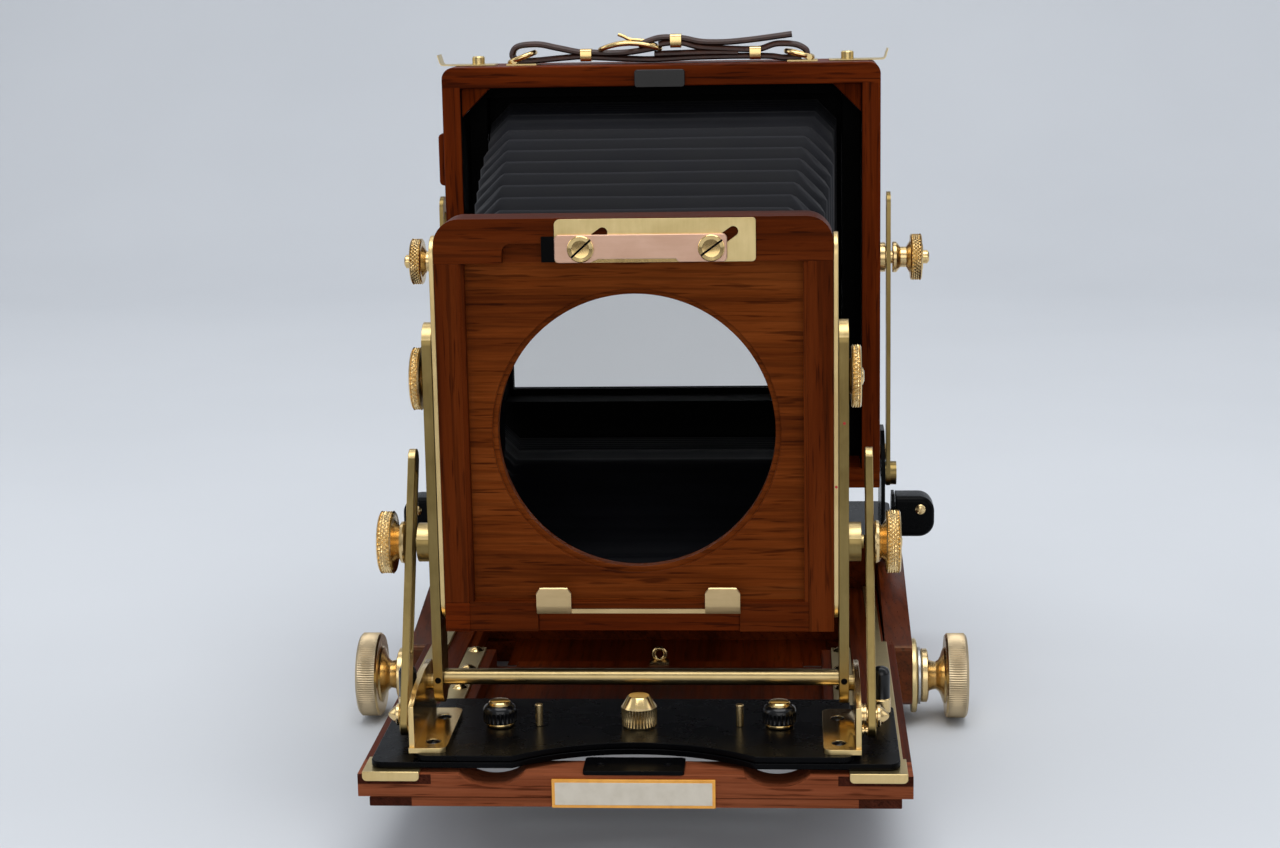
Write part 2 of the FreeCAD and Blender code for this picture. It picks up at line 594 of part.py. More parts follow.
# ---- bellows ------------------------------------------------------------
Y_FRONT = FRAME_T
Y_REAR = 172.2
HALF_FRONT = 49.0
HALF_REAR = 60.5
PITCH = 12.0
FOLD = 1.8
WALL = 0.9


def ring_wire(y, grow):
    t = (y - Y_FRONT) / (Y_REAR - Y_FRONT)
    half = HALF_FRONT + (HALF_REAR - HALF_FRONT) * t + grow
    zc = LENS_Z + (REAR_ZC - LENS_Z) * t
    c = 7.0
    pts = [(half, half - c), (half - c, half), (-half + c, half), (-half, half - c),
           (-half, -half + c), (-half + c, -half), (half - c, -half), (half, -half + c)]
    pts = [V(x, y, zc + z) for x, z in pts]
    return Part.makePolygon(pts + [pts[0]])


def bellows(y0, y1):
    steps = max(2, 2 * int(round((y1 - y0) / PITCH)))
    outer = []
    inner_w = []
    for i in range(steps + 1):
        y = y0 + (y1 - y0) * i / steps
        g = FOLD if i % 2 else -FOLD
        outer.append(ring_wire(y, g))
        inner_w.append(ring_wire(y, g - WALL))
    a = Part.makeLoft(outer, True, True)
    b = Part.makeLoft(inner_w, True, True)
    return a.cut(b)


STATIONS = [Y_FRONT, 26.0, 42.0, 158.0, 166.0, Y_REAR]
NAMES = ["bellows_front", "bellows_swing", "bellows_fold", "bellows_focus", "bellows_rear"]
for i, nm in enumerate(NAMES):
    save(nm, bellows(STATIONS[i], STATIONS[i + 1]))
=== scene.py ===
import json
import math

import bmesh
import bpy
from mathutils import Matrix, Vector


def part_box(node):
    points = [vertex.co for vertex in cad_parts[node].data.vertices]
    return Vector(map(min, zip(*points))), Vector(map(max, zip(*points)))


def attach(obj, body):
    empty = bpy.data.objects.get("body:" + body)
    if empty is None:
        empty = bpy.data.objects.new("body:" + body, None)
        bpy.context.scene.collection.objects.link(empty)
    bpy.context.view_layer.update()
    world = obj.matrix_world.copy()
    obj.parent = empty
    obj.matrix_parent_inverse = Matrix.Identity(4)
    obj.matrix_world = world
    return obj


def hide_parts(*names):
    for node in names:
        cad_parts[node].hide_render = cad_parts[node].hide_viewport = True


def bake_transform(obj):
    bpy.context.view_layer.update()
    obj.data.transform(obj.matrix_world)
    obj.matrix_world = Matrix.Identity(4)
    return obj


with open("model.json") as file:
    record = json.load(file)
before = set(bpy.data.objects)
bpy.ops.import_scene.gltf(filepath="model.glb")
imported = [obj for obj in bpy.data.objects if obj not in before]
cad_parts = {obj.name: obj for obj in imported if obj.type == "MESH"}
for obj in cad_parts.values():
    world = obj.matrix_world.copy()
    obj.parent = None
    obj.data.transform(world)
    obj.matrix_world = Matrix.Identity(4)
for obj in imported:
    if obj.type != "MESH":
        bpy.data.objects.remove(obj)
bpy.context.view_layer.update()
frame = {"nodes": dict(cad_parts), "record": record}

# Looks of a folding view camera, built round its CAD frame.  Metres; +X is the
# viewer's right, -Y the lens side, +Z up.  MM turns millimetres into metres.
MM = 0.001
NODES = frame["nodes"]
RECORD = frame["record"]
BODY_OF = {n: b for b, members in RECORD["behaviour"]["bodies"].items() for n in members}
GRAIN = "xyz"


# ---- materials ----
class Graph:
    """A material's node tree, with short calls for the nodes used here."""

    def __init__(self, name, **sockets):
        self.material = bpy.data.materials.new(name)
        self.material.use_nodes = True
        self.tree = self.material.node_tree
        self.tree.nodes.clear()
        out = self.tree.nodes.new("ShaderNodeOutputMaterial")
        self.shader = self.tree.nodes.new("ShaderNodeBsdfPrincipled")
        self.tree.links.new(self.shader.outputs[0], out.inputs[0])
        for key, value in sockets.items():
            self.shader.inputs[key.replace("_", " ")].default_value = value
        self.place = self.tree.nodes.new("ShaderNodeTexCoord").outputs["Object"]

    def node(self, kind, inputs, output=0, **settings):
        n = self.tree.nodes.new(kind)
        for key, value in settings.items():
            setattr(n, key, value)
        for key, value in inputs.items():
            if isinstance(value, bpy.types.NodeSocket):
                self.tree.links.new(value, n.inputs[key])
            else:
                n.inputs[key].default_value = value
        return n.outputs[output]

    def stretched(self, scale):
        return self.node("ShaderNodeMapping", {"Vector": self.place, "Scale": scale})

    def noise(self, vector, scale=1.0, detail=3.0, rough=0.55, bend=0.0):
        return self.node("ShaderNodeTexNoise", {"Vector": vector, "Scale": scale, "Detail": detail,
                                                "Roughness": rough, "Distortion": bend})

    def ramp(self, value, stops):
        n = self.tree.nodes.new("ShaderNodeValToRGB")
        while len(n.color_ramp.elements) < len(stops):
            n.color_ramp.elements.new(0.5)
        for element, (at, colour) in zip(n.color_ramp.elements, stops):
            element.position = at
            element.color = (*colour, 1.0)
        self.tree.links.new(value, n.inputs[0])
        return n.outputs[0]

    def math(self, operation, a, b=0.0, c=0.0):
        return self.node("ShaderNodeMath", {0: a, 1: b, 2: c}, operation=operation)

    def mix(self, factor, a, b, blend="MIX"):
        return self.node("ShaderNodeMix", {0: factor, 6: a, 7: b}, 2, data_type="RGBA",
                         blend_type=blend)

    def spread(self, value, low, high):
        return self.node("ShaderNodeMapRange", {"Value": value, "To Min": low, "To Max": high})

    def bump(self, height, strength, depth, under=None):
        inputs = {"Height": height, "Strength": strength, "Distance": depth}
        if under is not None:
            inputs["Normal"] = under
        return self.node("ShaderNodeBump", inputs)

    def wire(self, **sockets):
        for key, value in sockets.items():
            self.tree.links.new(value, self.shader.inputs[key.replace("_", " ")])
        return self.material


def wood(name, grain, dark, mid, light, line_gap, line_depth, gloss=0.36, shine=0.07, fine=1.0):
    """Oiled cherry whose growth lines run along the grain axis."""
    g = Graph(name, Specular_IOR_Level=shine, Specular_Tint=(1.0, 0.60, 0.36, 1.0))
    axis = GRAIN.index(grain)

    def along(slow, fast):
        return g.stretched([slow if i == axis else fast for i in range(3)])

    broad = g.noise(along(7, 42 * fine), detail=2.0)
    streak = g.noise(along(13 * fine, 380 * fine), detail=5.0, rough=0.62, bend=0.25)
    fibre = g.noise(along(120, 2400), detail=3.0, rough=0.6)
    tone = g.math("ADD", g.math("MULTIPLY", broad, 0.55), g.math("MULTIPLY", streak, 0.45))
    colour = g.ramp(tone, [(0.36, dark), (0.50, mid), (0.66, light)])
    rings = g.node("ShaderNodeTexWave", {"Vector": along(2.2, 100), "Scale": 6.28 / line_gap / 10,
                                         "Distortion": 9.0, "Detail": 4.0, "Detail Scale": 0.7,
                                         "Detail Roughness": 0.65},
                   1, bands_direction="DIAGONAL", wave_profile="SIN")
    thin = g.ramp(rings, [(0.0, (1, 1, 1)), (0.84, (1, 1, 1)), (0.97, (0, 0, 0))])
    shade = g.mix(line_depth, (1, 1, 1, 1), thin)
    colour = g.mix(1.0, colour, shade, "MULTIPLY")
    colour = g.mix(0.22, colour, g.ramp(fibre, [(0.3, (0.35, 0.3, 0.28)), (0.62, (1, 1, 1))]),
                   "MULTIPLY")
    pore = g.ramp(g.noise(along(70, 1100), detail=1.0), [(0.60, (1, 1, 1)), (0.70, (0.30, 0.22, 0.18))])
    colour = g.mix(0.75, colour, pore, "MULTIPLY")
    rough = g.spread(fibre, gloss, gloss + 0.16)
    pores = g.bump(fibre, 0.16, 0.15 * MM)
    return g.wire(Base_Color=colour, Roughness=rough, Normal=g.bump(streak, 0.07, 0.3 * MM, pores))


def metal(name, colour, ridge_highlight, rough, brush=(1, 1, 1), patina=0.25, scratch=0.10):
    """Bare metal: drawn finish, a slow change of tone and fine wear in its gloss."""
    g = Graph(name, Metallic=1.0)
    cloud = g.noise(g.place, 75.0, 4.0, 0.6, 0.4)
    fine = g.noise(g.stretched([c * 900 for c in brush]), detail=3.0, rough=0.65)
    tone = g.ramp(g.math("ADD", g.math("MULTIPLY", cloud, 0.7), g.math("MULTIPLY", fine, 0.3)),
                  [(0.5 - patina, ridge_highlight), (0.5 + patina, colour)])
    gloss = g.math("ADD", g.spread(cloud, rough - 0.05, rough + 0.07),
                   g.math("MULTIPLY", fine, 0.10))
    return g.wire(Base_Color=tone, Roughness=gloss, Normal=g.bump(fine, scratch, 0.05 * MM))


def lacquer(name, colour, edge, rough, speck, shine, coat):
    """Black lacquer over metal: slight orange peel, dust and rubbed spots."""
    g = Graph(name, Coat_Weight=coat, Coat_Roughness=0.18, Specular_IOR_Level=shine)
    peel = g.noise(g.place, 650.0, 2.0)
    cloud = g.noise(g.place, 60.0, 5.0, 0.65)
    dust = g.noise(g.place, 2600.0, 1.0)
    tone = g.mix(g.ramp(cloud, [(0.45, (0, 0, 0)), (0.8, (1, 1, 1))]), (*colour, 1), (*edge, 1))
    tone = g.mix(g.ramp(dust, [(0.70, (0, 0, 0)), (0.80, (speck,) * 3)]), tone, (0.25, 0.25, 0.25, 1))
    return g.wire(Base_Color=tone, Roughness=g.spread(cloud, rough, rough + 0.15),
                  Normal=g.bump(peel, 0.10, 0.05 * MM))


def pleated_cloth(name):
    """Matt black bellows cloth with a fine weave, and a painted highlight on its ridges."""
    g = Graph(name, Sheen_Weight=0.03, Sheen_Roughness=0.45, Specular_IOR_Level=0.12)
    cloud = g.noise(g.place, 55.0, 4.0, 0.6, 0.3)
    leather = g.node("ShaderNodeTexVoronoi", {"Vector": g.place, "Scale": 1900.0}, 0)
    weave = g.noise(g.stretched((2600, 700, 2600)), detail=2.0)
    tone = g.ramp(g.math("ADD", g.math("MULTIPLY", cloud, 0.75), g.math("MULTIPLY", weave, 0.25)),
                  [(0.30, (0.0020, 0.0022, 0.0036)), (0.55, (0.0034, 0.0037, 0.0058)),
                   (0.75, (0.0054, 0.0058, 0.0086))])
    # The ridge attribute lightens the cloth on each pleat ridge: a painted highlight for the light the
    # ridges catch.
    ridge_highlight = g.node("ShaderNodeAttribute", {}, 2, attribute_name="ridge")
    tone = g.mix(g.math("MULTIPLY", ridge_highlight, 0.32), tone, (0.024, 0.025, 0.032, 1))
    grain = g.bump(leather, 0.18, 0.10 * MM)
    return g.wire(Base_Color=tone, Roughness=g.spread(cloud, 0.52, 0.72),
                  Normal=g.bump(weave, 0.12, 0.08 * MM, grain))


def hide(name):
    """Dark brown strap leather, creased across its length and shiny where held."""
    g = Graph(name, Specular_IOR_Level=0.5)
    cloud = g.noise(g.place, 160.0, 4.0, 0.6)
    cells = g.node("ShaderNodeTexVoronoi", {"Vector": g.place, "Scale": 1500.0}, 0)
    crease = g.noise(g.stretched((900, 120, 900)), detail=4.0)
    tone = g.ramp(g.math("ADD", g.math("MULTIPLY", cloud, 0.6), g.math("MULTIPLY", crease, 0.4)),
                  [(0.3, (0.014, 0.006, 0.004)), (0.55, (0.045, 0.016, 0.010)),
                   (0.8, (0.110, 0.045, 0.025))])
    return g.wire(Base_Color=tone, Roughness=g.spread(crease, 0.30, 0.55),
                  Normal=g.bump(crease, 0.3, 0.15 * MM, g.bump(cells, 0.25, 0.1 * MM)))


def enamel(name, colour, chip):
    """Printed enamel with a little mottling."""
    g = Graph(name, Coat_Weight=0.4, Coat_Roughness=0.2)
    cloud = g.noise(g.place, 260.0, 4.0)
    fine = g.noise(g.place, 2500.0, 2.0)
    return g.wire(Base_Color=g.ramp(cloud, [(0.3, chip), (0.6, colour)]),
                  Roughness=g.spread(fine, 0.25, 0.4), Normal=g.bump(fine, 0.05, 0.05 * MM))


def frosted(name):
    """Ground glass: clear in its body, finely etched on its face."""
    g = Graph(name, Transmission_Weight=1.0, IOR=1.5)
    etch = g.noise(g.place, 3000.0, 2.0)
    return g.wire(Base_Color=g.ramp(etch, [(0.3, (0.74, 0.735, 0.72)), (0.7, (0.79, 0.785, 0.77))]),
                  Roughness=g.spread(etch, 0.28, 0.42), Normal=g.bump(etch, 0.1, 0.02 * MM))


CHERRY = ((0.040, 0.0055, 0.0006), (0.084, 0.0128, 0.0014), (0.125, 0.0230, 0.0034))
DEEP = ((0.046, 0.0052, 0.0004), (0.103, 0.0135, 0.0011), (0.155, 0.0240, 0.0024))
PALE = ((0.070, 0.0120, 0.0016), (0.142, 0.0290, 0.0040), (0.205, 0.0490, 0.0085))
RAIL = ((0.120, 0.0280, 0.0100), (0.205, 0.0540, 0.0210), (0.280, 0.0850, 0.0370))
CHERRY_ALONG = {a: wood("cherry_" + a, a, *CHERRY, 0.42, 0.30) for a in GRAIN}
DEEP_ALONG = {a: wood("deep_cherry_" + a, a, *DEEP, 0.42, 0.25) for a in GRAIN}
PANEL_WOOD = wood("panel_cherry", "x", *PALE, 0.30, 0.22, gloss=0.42, fine=1.9)
CHEEK_WOOD = wood("cheek_cherry", "y", *CHERRY, 0.42, 0.30, gloss=0.22, shine=0.45)
RAIL_WOOD = wood("rail_cherry", "x", *RAIL, 0.36, 0.22, gloss=0.42)
END_GRAIN = wood("end_grain", "y", (0.026, 0.0055, 0.003), (0.048, 0.011, 0.006),
                 (0.080, 0.021, 0.011), 0.12, 0.4)
SATIN = metal("satin_brass", (0.80, 0.64, 0.33), (0.60, 0.46, 0.20), 0.27, (1, 1, 0.12), scratch=0.2)
BAR = metal("bar_brass", (0.30, 0.22, 0.085), (0.18, 0.125, 0.042), 0.26, (1, 1, 0.06), scratch=0.2)
ROD = metal("rod_brass", (0.50, 0.38, 0.19), (0.33, 0.24, 0.10), 0.24, (0.06, 1, 1), scratch=0.2)
LIP = metal("lip_brass", (0.64, 0.47, 0.25), (0.48, 0.34, 0.16), 0.30, (0.1, 1, 1), scratch=0.15)
EDGE = metal("bright_edge_brass", (0.78, 0.60, 0.30), (0.60, 0.43, 0.18), 0.30, (1, 1, 0.1), scratch=0.2)
TURNED = metal("turned_brass", (0.82, 0.62, 0.33), (0.64, 0.45, 0.19), 0.19, (1, 0.2, 0.2))
POLISHED = metal("polished_brass", (0.86, 0.64, 0.31), (0.70, 0.48, 0.19), 0.12, scratch=0.05)
PALE_BRASS = metal("pale_brass", (0.54, 0.43, 0.28), (0.42, 0.33, 0.20), 0.36, (0.15, 1, 1), scratch=0.22)
COPPER = metal("copper", (0.74, 0.49, 0.37), (0.62, 0.38, 0.27), 0.30, (0.1, 1, 1), 0.2, 0.15)
STEEL = metal("steel", (0.56, 0.57, 0.58), (0.38, 0.38, 0.38), 0.27, (0.1, 1, 1))
BLACK = lacquer("black_lacquer", (0.0010, 0.0010, 0.0013), (0.0022, 0.0022, 0.0028), 0.20, 0.04, 0.05, 0.0)
MATT_BLACK = lacquer("matt_black", (0.0010, 0.0010, 0.0010), (0.0020, 0.0020, 0.0020), 0.6, 0.02, 0.05, 0.0)
GRIP = lacquer("black_grip", (0.0025, 0.0025, 0.0032), (0.005, 0.005, 0.006), 0.12, 0.03, 0.28, 0.1)
CLOTH = pleated_cloth("bellows_cloth")
HIDE = hide("strap_leather")
CREAM = enamel("cream_enamel", (0.62, 0.56, 0.46), (0.56, 0.50, 0.40))
RED = enamel("red_enamel", (0.55, 0.012, 0.008), (0.40, 0.010, 0.006))
YELLOW = enamel("yellow_enamel", (0.80, 0.36, 0.04), (0.68, 0.28, 0.02))
FROSTED = frosted("ground_glass_etched")


# ---- mesh helpers ----
def placed(name, data):
    obj = bpy.data.objects.new(name, data)
    bpy.context.scene.collection.objects.link(obj)
    return obj


def sliced(bm, point, normal):
    bmesh.ops.bisect_plane(bm, geom=bm.verts[:] + bm.edges[:] + bm.faces[:], plane_co=point,
                           plane_no=normal, dist=1e-7)


def piece(name, bm, materials, body, stands_for=(), bevel=0.0, segments=2, angle=32):
    """One finished object from a bmesh, riding on its body."""
    mesh = bpy.data.meshes.new(name)
    bm.normal_update()
    bm.to_mesh(mesh)
    bm.free()
    for m in materials:
        mesh.materials.append(m)
    obj = placed(name, mesh)
    mesh.shade_smooth()
    mesh.set_sharp_from_angle(angle=math.radians(angle))
    if bevel:
        mod = obj.modifiers.new("edges", "BEVEL")
        mod.width = bevel
        mod.segments = segments
        mod.limit_method = "ANGLE"
        mod.angle_limit = math.radians(angle)
        mod.harden_normals = False
    if isinstance(body, str):
        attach(obj, body)
    if stands_for:
        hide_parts(*([stands_for] if isinstance(stands_for, str) else stands_for))
    return obj


def refined(node, materials, bevel=0.25 * MM, choose=None, cuts=(), segments=2, drop=None):
    """A copy of a CAD node with its seams welded, flats merged and edges eased."""
    bm = bmesh.new()
    bm.from_mesh(NODES[node].data)
    bmesh.ops.remove_doubles(bm, verts=bm.verts, dist=0.002 * MM)
    bmesh.ops.dissolve_limit(bm, angle_limit=math.radians(0.8), verts=bm.verts, edges=bm.edges)
    for point, normal in cuts:
        sliced(bm, point, normal)
    if drop:
        bmesh.ops.delete(bm, geom=[f for f in bm.faces if drop(f.calc_center_median())],
                         context="FACES")
    if choose:
        for f in bm.faces:
            f.material_index = choose(f.calc_center_median(), f.normal)
    materials = materials if isinstance(materials, list) else [materials]
    return piece(node + "_finished", bm, materials, BODY_OF[node], node, bevel, segments)


def frame_of(axis):
    """Two unit vectors square to an axis."""
    axis = Vector(axis).normalized()
    side = axis.orthogonal().normalized()
    if abs(axis.x) > 0.9:
        side = Vector((0, 0, 1))
    return axis, side, axis.cross(side)


def turned_mesh(bm, profile, centre, axis, sides=64, indices=None, knurl=None):
    """Revolves (distance, radius) steps about an axis through centre.

    knurl maps a profile step to (kind, teeth, depth, rows), and that step's band
    gets straight or diamond knurling.
    """
    axis, u, v = frame_of(axis)
    centre = Vector(centre)
    rings = []
    for i, (dist, radius) in enumerate(profile):
        rings.append((dist, radius, None, 0.0, i - 1))
        if knurl and i in knurl and i + 1 < len(profile):
            kind, teeth, depth, rows = knurl[i]
            d1, r1 = profile[i + 1]
            for k in range(1, rows):
                t = k / rows
                rings.append((dist + (d1 - dist) * t, radius + (r1 - radius) * t, (kind, teeth, depth),
                              (d1 - dist) * t / (math.tau * radius / teeth), i))
    loops = []
    for dist, radius, cut, rise, _ in rings:
        loop = []
        for s in range(sides):
            a = math.tau * s / sides
            r = radius
            if cut:
                kind, teeth, depth = cut
                p = a * teeth / math.tau
                if kind == "straight":
                    r -= depth * (0.5 + 0.5 * math.cos(math.tau * p))
                else:
                    one = abs(((p + rise) % 1.0) - 0.5) * 2
                    two = abs(((p - rise) % 1.0) - 0.5) * 2
                    r -= depth * (1 - min(one, two))
            loop.append(bm.verts.new(centre + axis * dist + (u * math.cos(a) + v * math.sin(a)) * r))
        loops.append(loop)
    for k in range(len(loops) - 1):
        index = indices[rings[k + 1][4]] if indices else 0
        for s in range(sides):
            n = (s + 1) % sides
            f = bm.faces.new((loops[k][s], loops[k][n], loops[k + 1][n], loops[k + 1][s]))
            f.material_index = index
    first = bm.faces.new(loops[0][::-1])
    last = bm.faces.new(loops[-1])
    if indices:
        first.material_index = indices[0]
        last.material_index = indices[-1]
    return bm


def boxed(bm, low, high, index=0):
    """A plain block added to a bmesh; the bevel modifier eases its edges."""
    x0, y0, z0 = low
    x1, y1, z1 = high
    corners = [bm.verts.new((x, y, z)) for z in (z0, z1) for y in (y0, y1) for x in (x0, x1)]
    for quad in ((0, 2, 3, 1), (4, 5, 7, 6), (0, 1, 5, 4), (2, 6, 7, 3), (0, 4, 6, 2), (1, 3, 7, 5)):
        bm.faces.new([corners[i] for i in quad]).material_index = index
    return bm


def skin(bm, rows, around=False, caps=False):
    """Quads between neighbouring loops of vertices; around joins the last loop to the first."""
    n = len(rows[0])
    for a, b in zip(rows, rows[1:] + rows[:1] if around else rows[1:]):
        for k in range(n):
            bm.faces.new((a[k], a[(k + 1) % n], b[(k + 1) % n], b[k]))
    if caps:
        bm.faces.new(rows[0][::-1])
        bm.faces.new(rows[-1])
    return bm


def in_metres(profile):
    return [(d * MM, r * MM) for d, r in profile]


# ---- stage and camera ----
def make_stage():
    """A pale floor that sweeps up to a backdrop, lights and the camera."""
    bm = bmesh.new()
    profile = [(-0.62, 0.0), (1.0, 0.0)]
    profile += [(1.0 + 0.7 * math.sin(a), 0.7 - 0.7 * math.cos(a))
                for a in [math.radians(7.5 * k) for k in range(1, 13)]]
    profile.append((1.7, 3.0))
    rows = [[bm.verts.new((x, y, z)) for x in (-3.0, 3.0)] for y, z in profile]
    for a, b in zip(rows, rows[1:]):
        bm.faces.new((a[0], a[1], b[1], b[0]))
    mesh = bpy.data.meshes.new("sweep")
    bm.to_mesh(mesh)
    bm.free()
    mesh.shade_smooth()
    floor = placed("sweep", mesh)
    g = Graph("sweep_paper", Roughness=0.85, Specular_IOR_Level=0.2)
    cloud = g.noise(g.place, 3.0, 3.0)
    mesh.materials.append(g.wire(Base_Color=g.ramp(cloud, [(0.3, (0.60, 0.625, 0.66)),
                                                           (0.7, (0.63, 0.655, 0.69))])))

    def area(name, place, aim, size, power, tint=(1, 1, 1)):
        data = bpy.data.lights.new(name, "AREA")
        data.shape = "RECTANGLE"
        data.size, data.size_y = size
        data.energy = power
        data.color = tint
        lamp = placed(name, data)
        lamp.location = place
        lamp.rotation_euler = (Vector(aim) - Vector(place)).to_track_quat("-Z", "Y").to_euler()

    area("key", (0.1, -0.35, 1.35), (0, 0, 0.08), (1.2, 0.9), 11.5, (1.0, 0.995, 0.98))
    area("front", (0.15, -1.75, 0.50), (0, 0, 0.10), (1.7, 0.9), 7.0, (1.0, 0.99, 0.97))
    area("side_left", (-1.3, -0.1, 0.6), (0, 0, 0.1), (0.8, 0.9), 3.0, (0.96, 0.98, 1.0))
    area("side_right", (1.4, -0.1, 0.6), (0, 0, 0.1), (0.8, 0.9), 2.2, (0.98, 0.99, 1.0))
    area("far_floor", (0.0, 0.75, 1.3), (0, 0.95, 0.0), (2.4, 0.5), 6.0)
    area("under_bed", (0.0, -0.070, 0.019), (0, -0.070, 0.0), (0.11, 0.03), 0.005)

    world = bpy.data.worlds.new("studio")
    bpy.context.scene.world = world
    world.use_nodes = True
    tree = world.node_tree
    tree.nodes.clear()
    kinds = ("OutputWorld", "Background", "TexCoord", "SeparateXYZ", "ValToRGB", "MapRange")
    out, sky, way, split, ramp, shift = [tree.nodes.new("ShaderNode" + kind) for kind in kinds]
    shift.inputs["From Min"].default_value = -1.0
    sky.inputs["Strength"].default_value = 0.75
    low, high = ramp.color_ramp.elements
    low.position = 0.42
    low.color = (0.22, 0.21, 0.20, 1)
    high.position = 0.75
    high.color = (0.62, 0.65, 0.70, 1)
    for source, target in ((way.outputs["Generated"], split.inputs[0]),
                           (split.outputs["Z"], shift.inputs["Value"]),
                           (shift.outputs[0], ramp.inputs[0]),
                           (ramp.outputs[0], sky.inputs["Color"]),
                           (sky.outputs[0], out.inputs[0])):
        tree.links.new(source, target)

    data = bpy.data.cameras.new("view")
    data.sensor_width = 36.0
    data.lens = 65.53
    data.clip_start = 0.02
    camera = placed("view", data)
    right = Vector((0.99783, 0.06353, -0.01767))
    ahead = Vector((-0.06576, 0.97848, -0.19560))
    up = right.cross(ahead)
    camera.matrix_world = Matrix((
        (right.x, up.x, -ahead.x, 0.0451),
        (right.y, up.y, -ahead.y, -0.7806),
        (right.z, up.z, -ahead.z, 0.2532),
        (0, 0, 0, 1)))
    bpy.context.scene.camera = camera
    bpy.context.scene.view_settings.view_transform = "Standard"


make_stage()


# ---- more mesh helpers ----
def merged(bm, part, matrix=None):
    """Adds one bmesh to another, keeping material indices."""
    mesh = bpy.data.meshes.new("part")
    if matrix is not None:
        bmesh.ops.transform(part, matrix=matrix, verts=part.verts)
    part.to_mesh(mesh)
    part.free()
    bm.from_mesh(mesh)
    bpy.data.meshes.remove(mesh)
    return bm


def prism(bm, outline, axis, start, stop, index=0):
    """Extrudes an outline given in the two other axes, in their x-y-z order."""
    k = GRAIN.index(axis)

    def place(pair, d):
        out = list(pair)
        out.insert(k, d)
        return out

    a = [bm.verts.new(place(p, start)) for p in outline]
    b = [bm.verts.new(place(p, stop)) for p in outline]
    n = len(outline)
    bm.faces.new(a[::-1]).material_index = index
    bm.faces.new(b).material_index = index
    for i in range(n):
        bm.faces.new((a[i], a[(i + 1) % n], b[(i + 1) % n], b[i])).material_index = index
    return bm


def arc(centre, radius, start, stop, steps=8):
    """Points on an arc, angles in degrees."""
    return [(centre[0] + radius * math.cos(math.radians(start + (stop - start) * i / steps)),
             centre[1] + radius * math.sin(math.radians(start + (stop - start) * i / steps)))
            for i in range(steps + 1)]


def rounded_rect(x0, x1, z0, z1, r, steps=6):
    """A rectangle's outline with each corner rounded; r may be one value or four."""
    r = r if isinstance(r, (list, tuple)) else [r] * 4
    return (arc((x1 - r[0], z0 + r[0]), r[0], -90, 0, steps)
            + arc((x1 - r[1], z1 - r[1]), r[1], 0, 90, steps)
            + arc((x0 + r[2], z1 - r[2]), r[2], 90, 180, steps)
            + arc((x0 + r[3], z0 + r[3]), r[3], 180, 270, steps))


def screw(bm, centre, axis, radius, height, slot=0.9 * MM, depth=0.7 * MM, turn=45.0, dished=False,
          index=0, slot_shade_index=None):
    """A slotted head on a surface; dished heads are hollow towards the middle. The slot floor can take a
    material of its own, for painted shade in the slot.
    """
    if dished:
        profile = [(0, radius * 0.97), (height * 0.25, radius), (height * 0.85, radius),
                   (height, radius * 0.95), (height, radius * 0.92), (height * 0.62, radius * 0.68),
                   (height * 0.60, radius * 0.64), (height * 0.60, radius * 0.03)]
    else:
        profile = [(0, radius)]
        profile += [(height * math.sin(a), radius * math.cos(a))
                    for a in [math.radians(15 * k) for k in range(1, 6)]]
        profile.append((height, radius * 0.03))
    head = bmesh.new()
    turned_mesh(head, profile, (0, 0, 0), (0, 0, 1), 48)
    half = slot / 2
    for offset in (half, half - 0.03 * MM, -half, 0.03 * MM - half):
        sliced(head, (0, offset, 0), (0, 1, 0))
    floor = height - depth
    for v in head.verts:
        if abs(v.co.y) < half - 0.02 * MM and v.co.z > floor:
            v.co.z = floor
    # Faces on the slot floor may take their own material: painted shade in the slot.
    for f in head.faces:
        within = abs(f.calc_center_median().y) < half - 0.01 * MM
        f.material_index = slot_shade_index if within and slot_shade_index is not None else index
    aim = Vector(axis).to_track_quat("Z", "Y").to_matrix().to_4x4()
    spin = Matrix.Rotation(math.radians(turn), 4, "Z")
    return merged(bm, head, Matrix.Translation(Vector(centre)) @ aim @ spin)


def ribbon(bm, path, y0, y1, thick):
    """A flat strap that follows a path in x and z, crowned a little across its width."""
    cross = 5
    rows = []
    n = len(path)
    for i, (x, z) in enumerate(path):
        ax, az = path[max(i - 1, 0)]
        bx, bz = path[min(i + 1, n - 1)]
        t = Vector((bx - ax, 0, bz - az)).normalized()
        up = Vector((-t.z, 0, t.x))
        top, bottom = [], []
        for k in range(cross + 1):
            s = k / cross
            crown = 0.12 * thick * (1 - (2 * s - 1) ** 2)
            edge = 0.30 * thick if k in (0, cross) else 0.0
            p = Vector((x, y0 + (y1 - y0) * s, z))
            top.append(bm.verts.new(p + up * (thick / 2 + crown - edge)))
            bottom.append(bm.verts.new(p - up * (thick / 2 - edge)))
        rows.append(top + bottom[::-1])
    return skin(bm, rows, caps=True)


def curve(points, steps=8):
    """A smooth path through points (Catmull-Rom)."""
    out = []
    p = [points[0]] + list(points) + [points[-1]]
    for i in range(1, len(p) - 2):
        for k in range(steps):
            t = k / steps
            out.append(tuple(0.5 * (2 * p[i][j] + (p[i + 1][j] - p[i - 1][j]) * t
                                    + (2 * p[i - 1][j] - 5 * p[i][j] + 4 * p[i + 1][j] - p[i + 2][j]) * t * t
                                    + (3 * p[i][j] - p[i - 1][j] - 3 * p[i + 1][j] + p[i + 2][j]) * t ** 3)
                             for j in range(len(points[0]))))
    out.append(tuple(points[-1]))
    return out


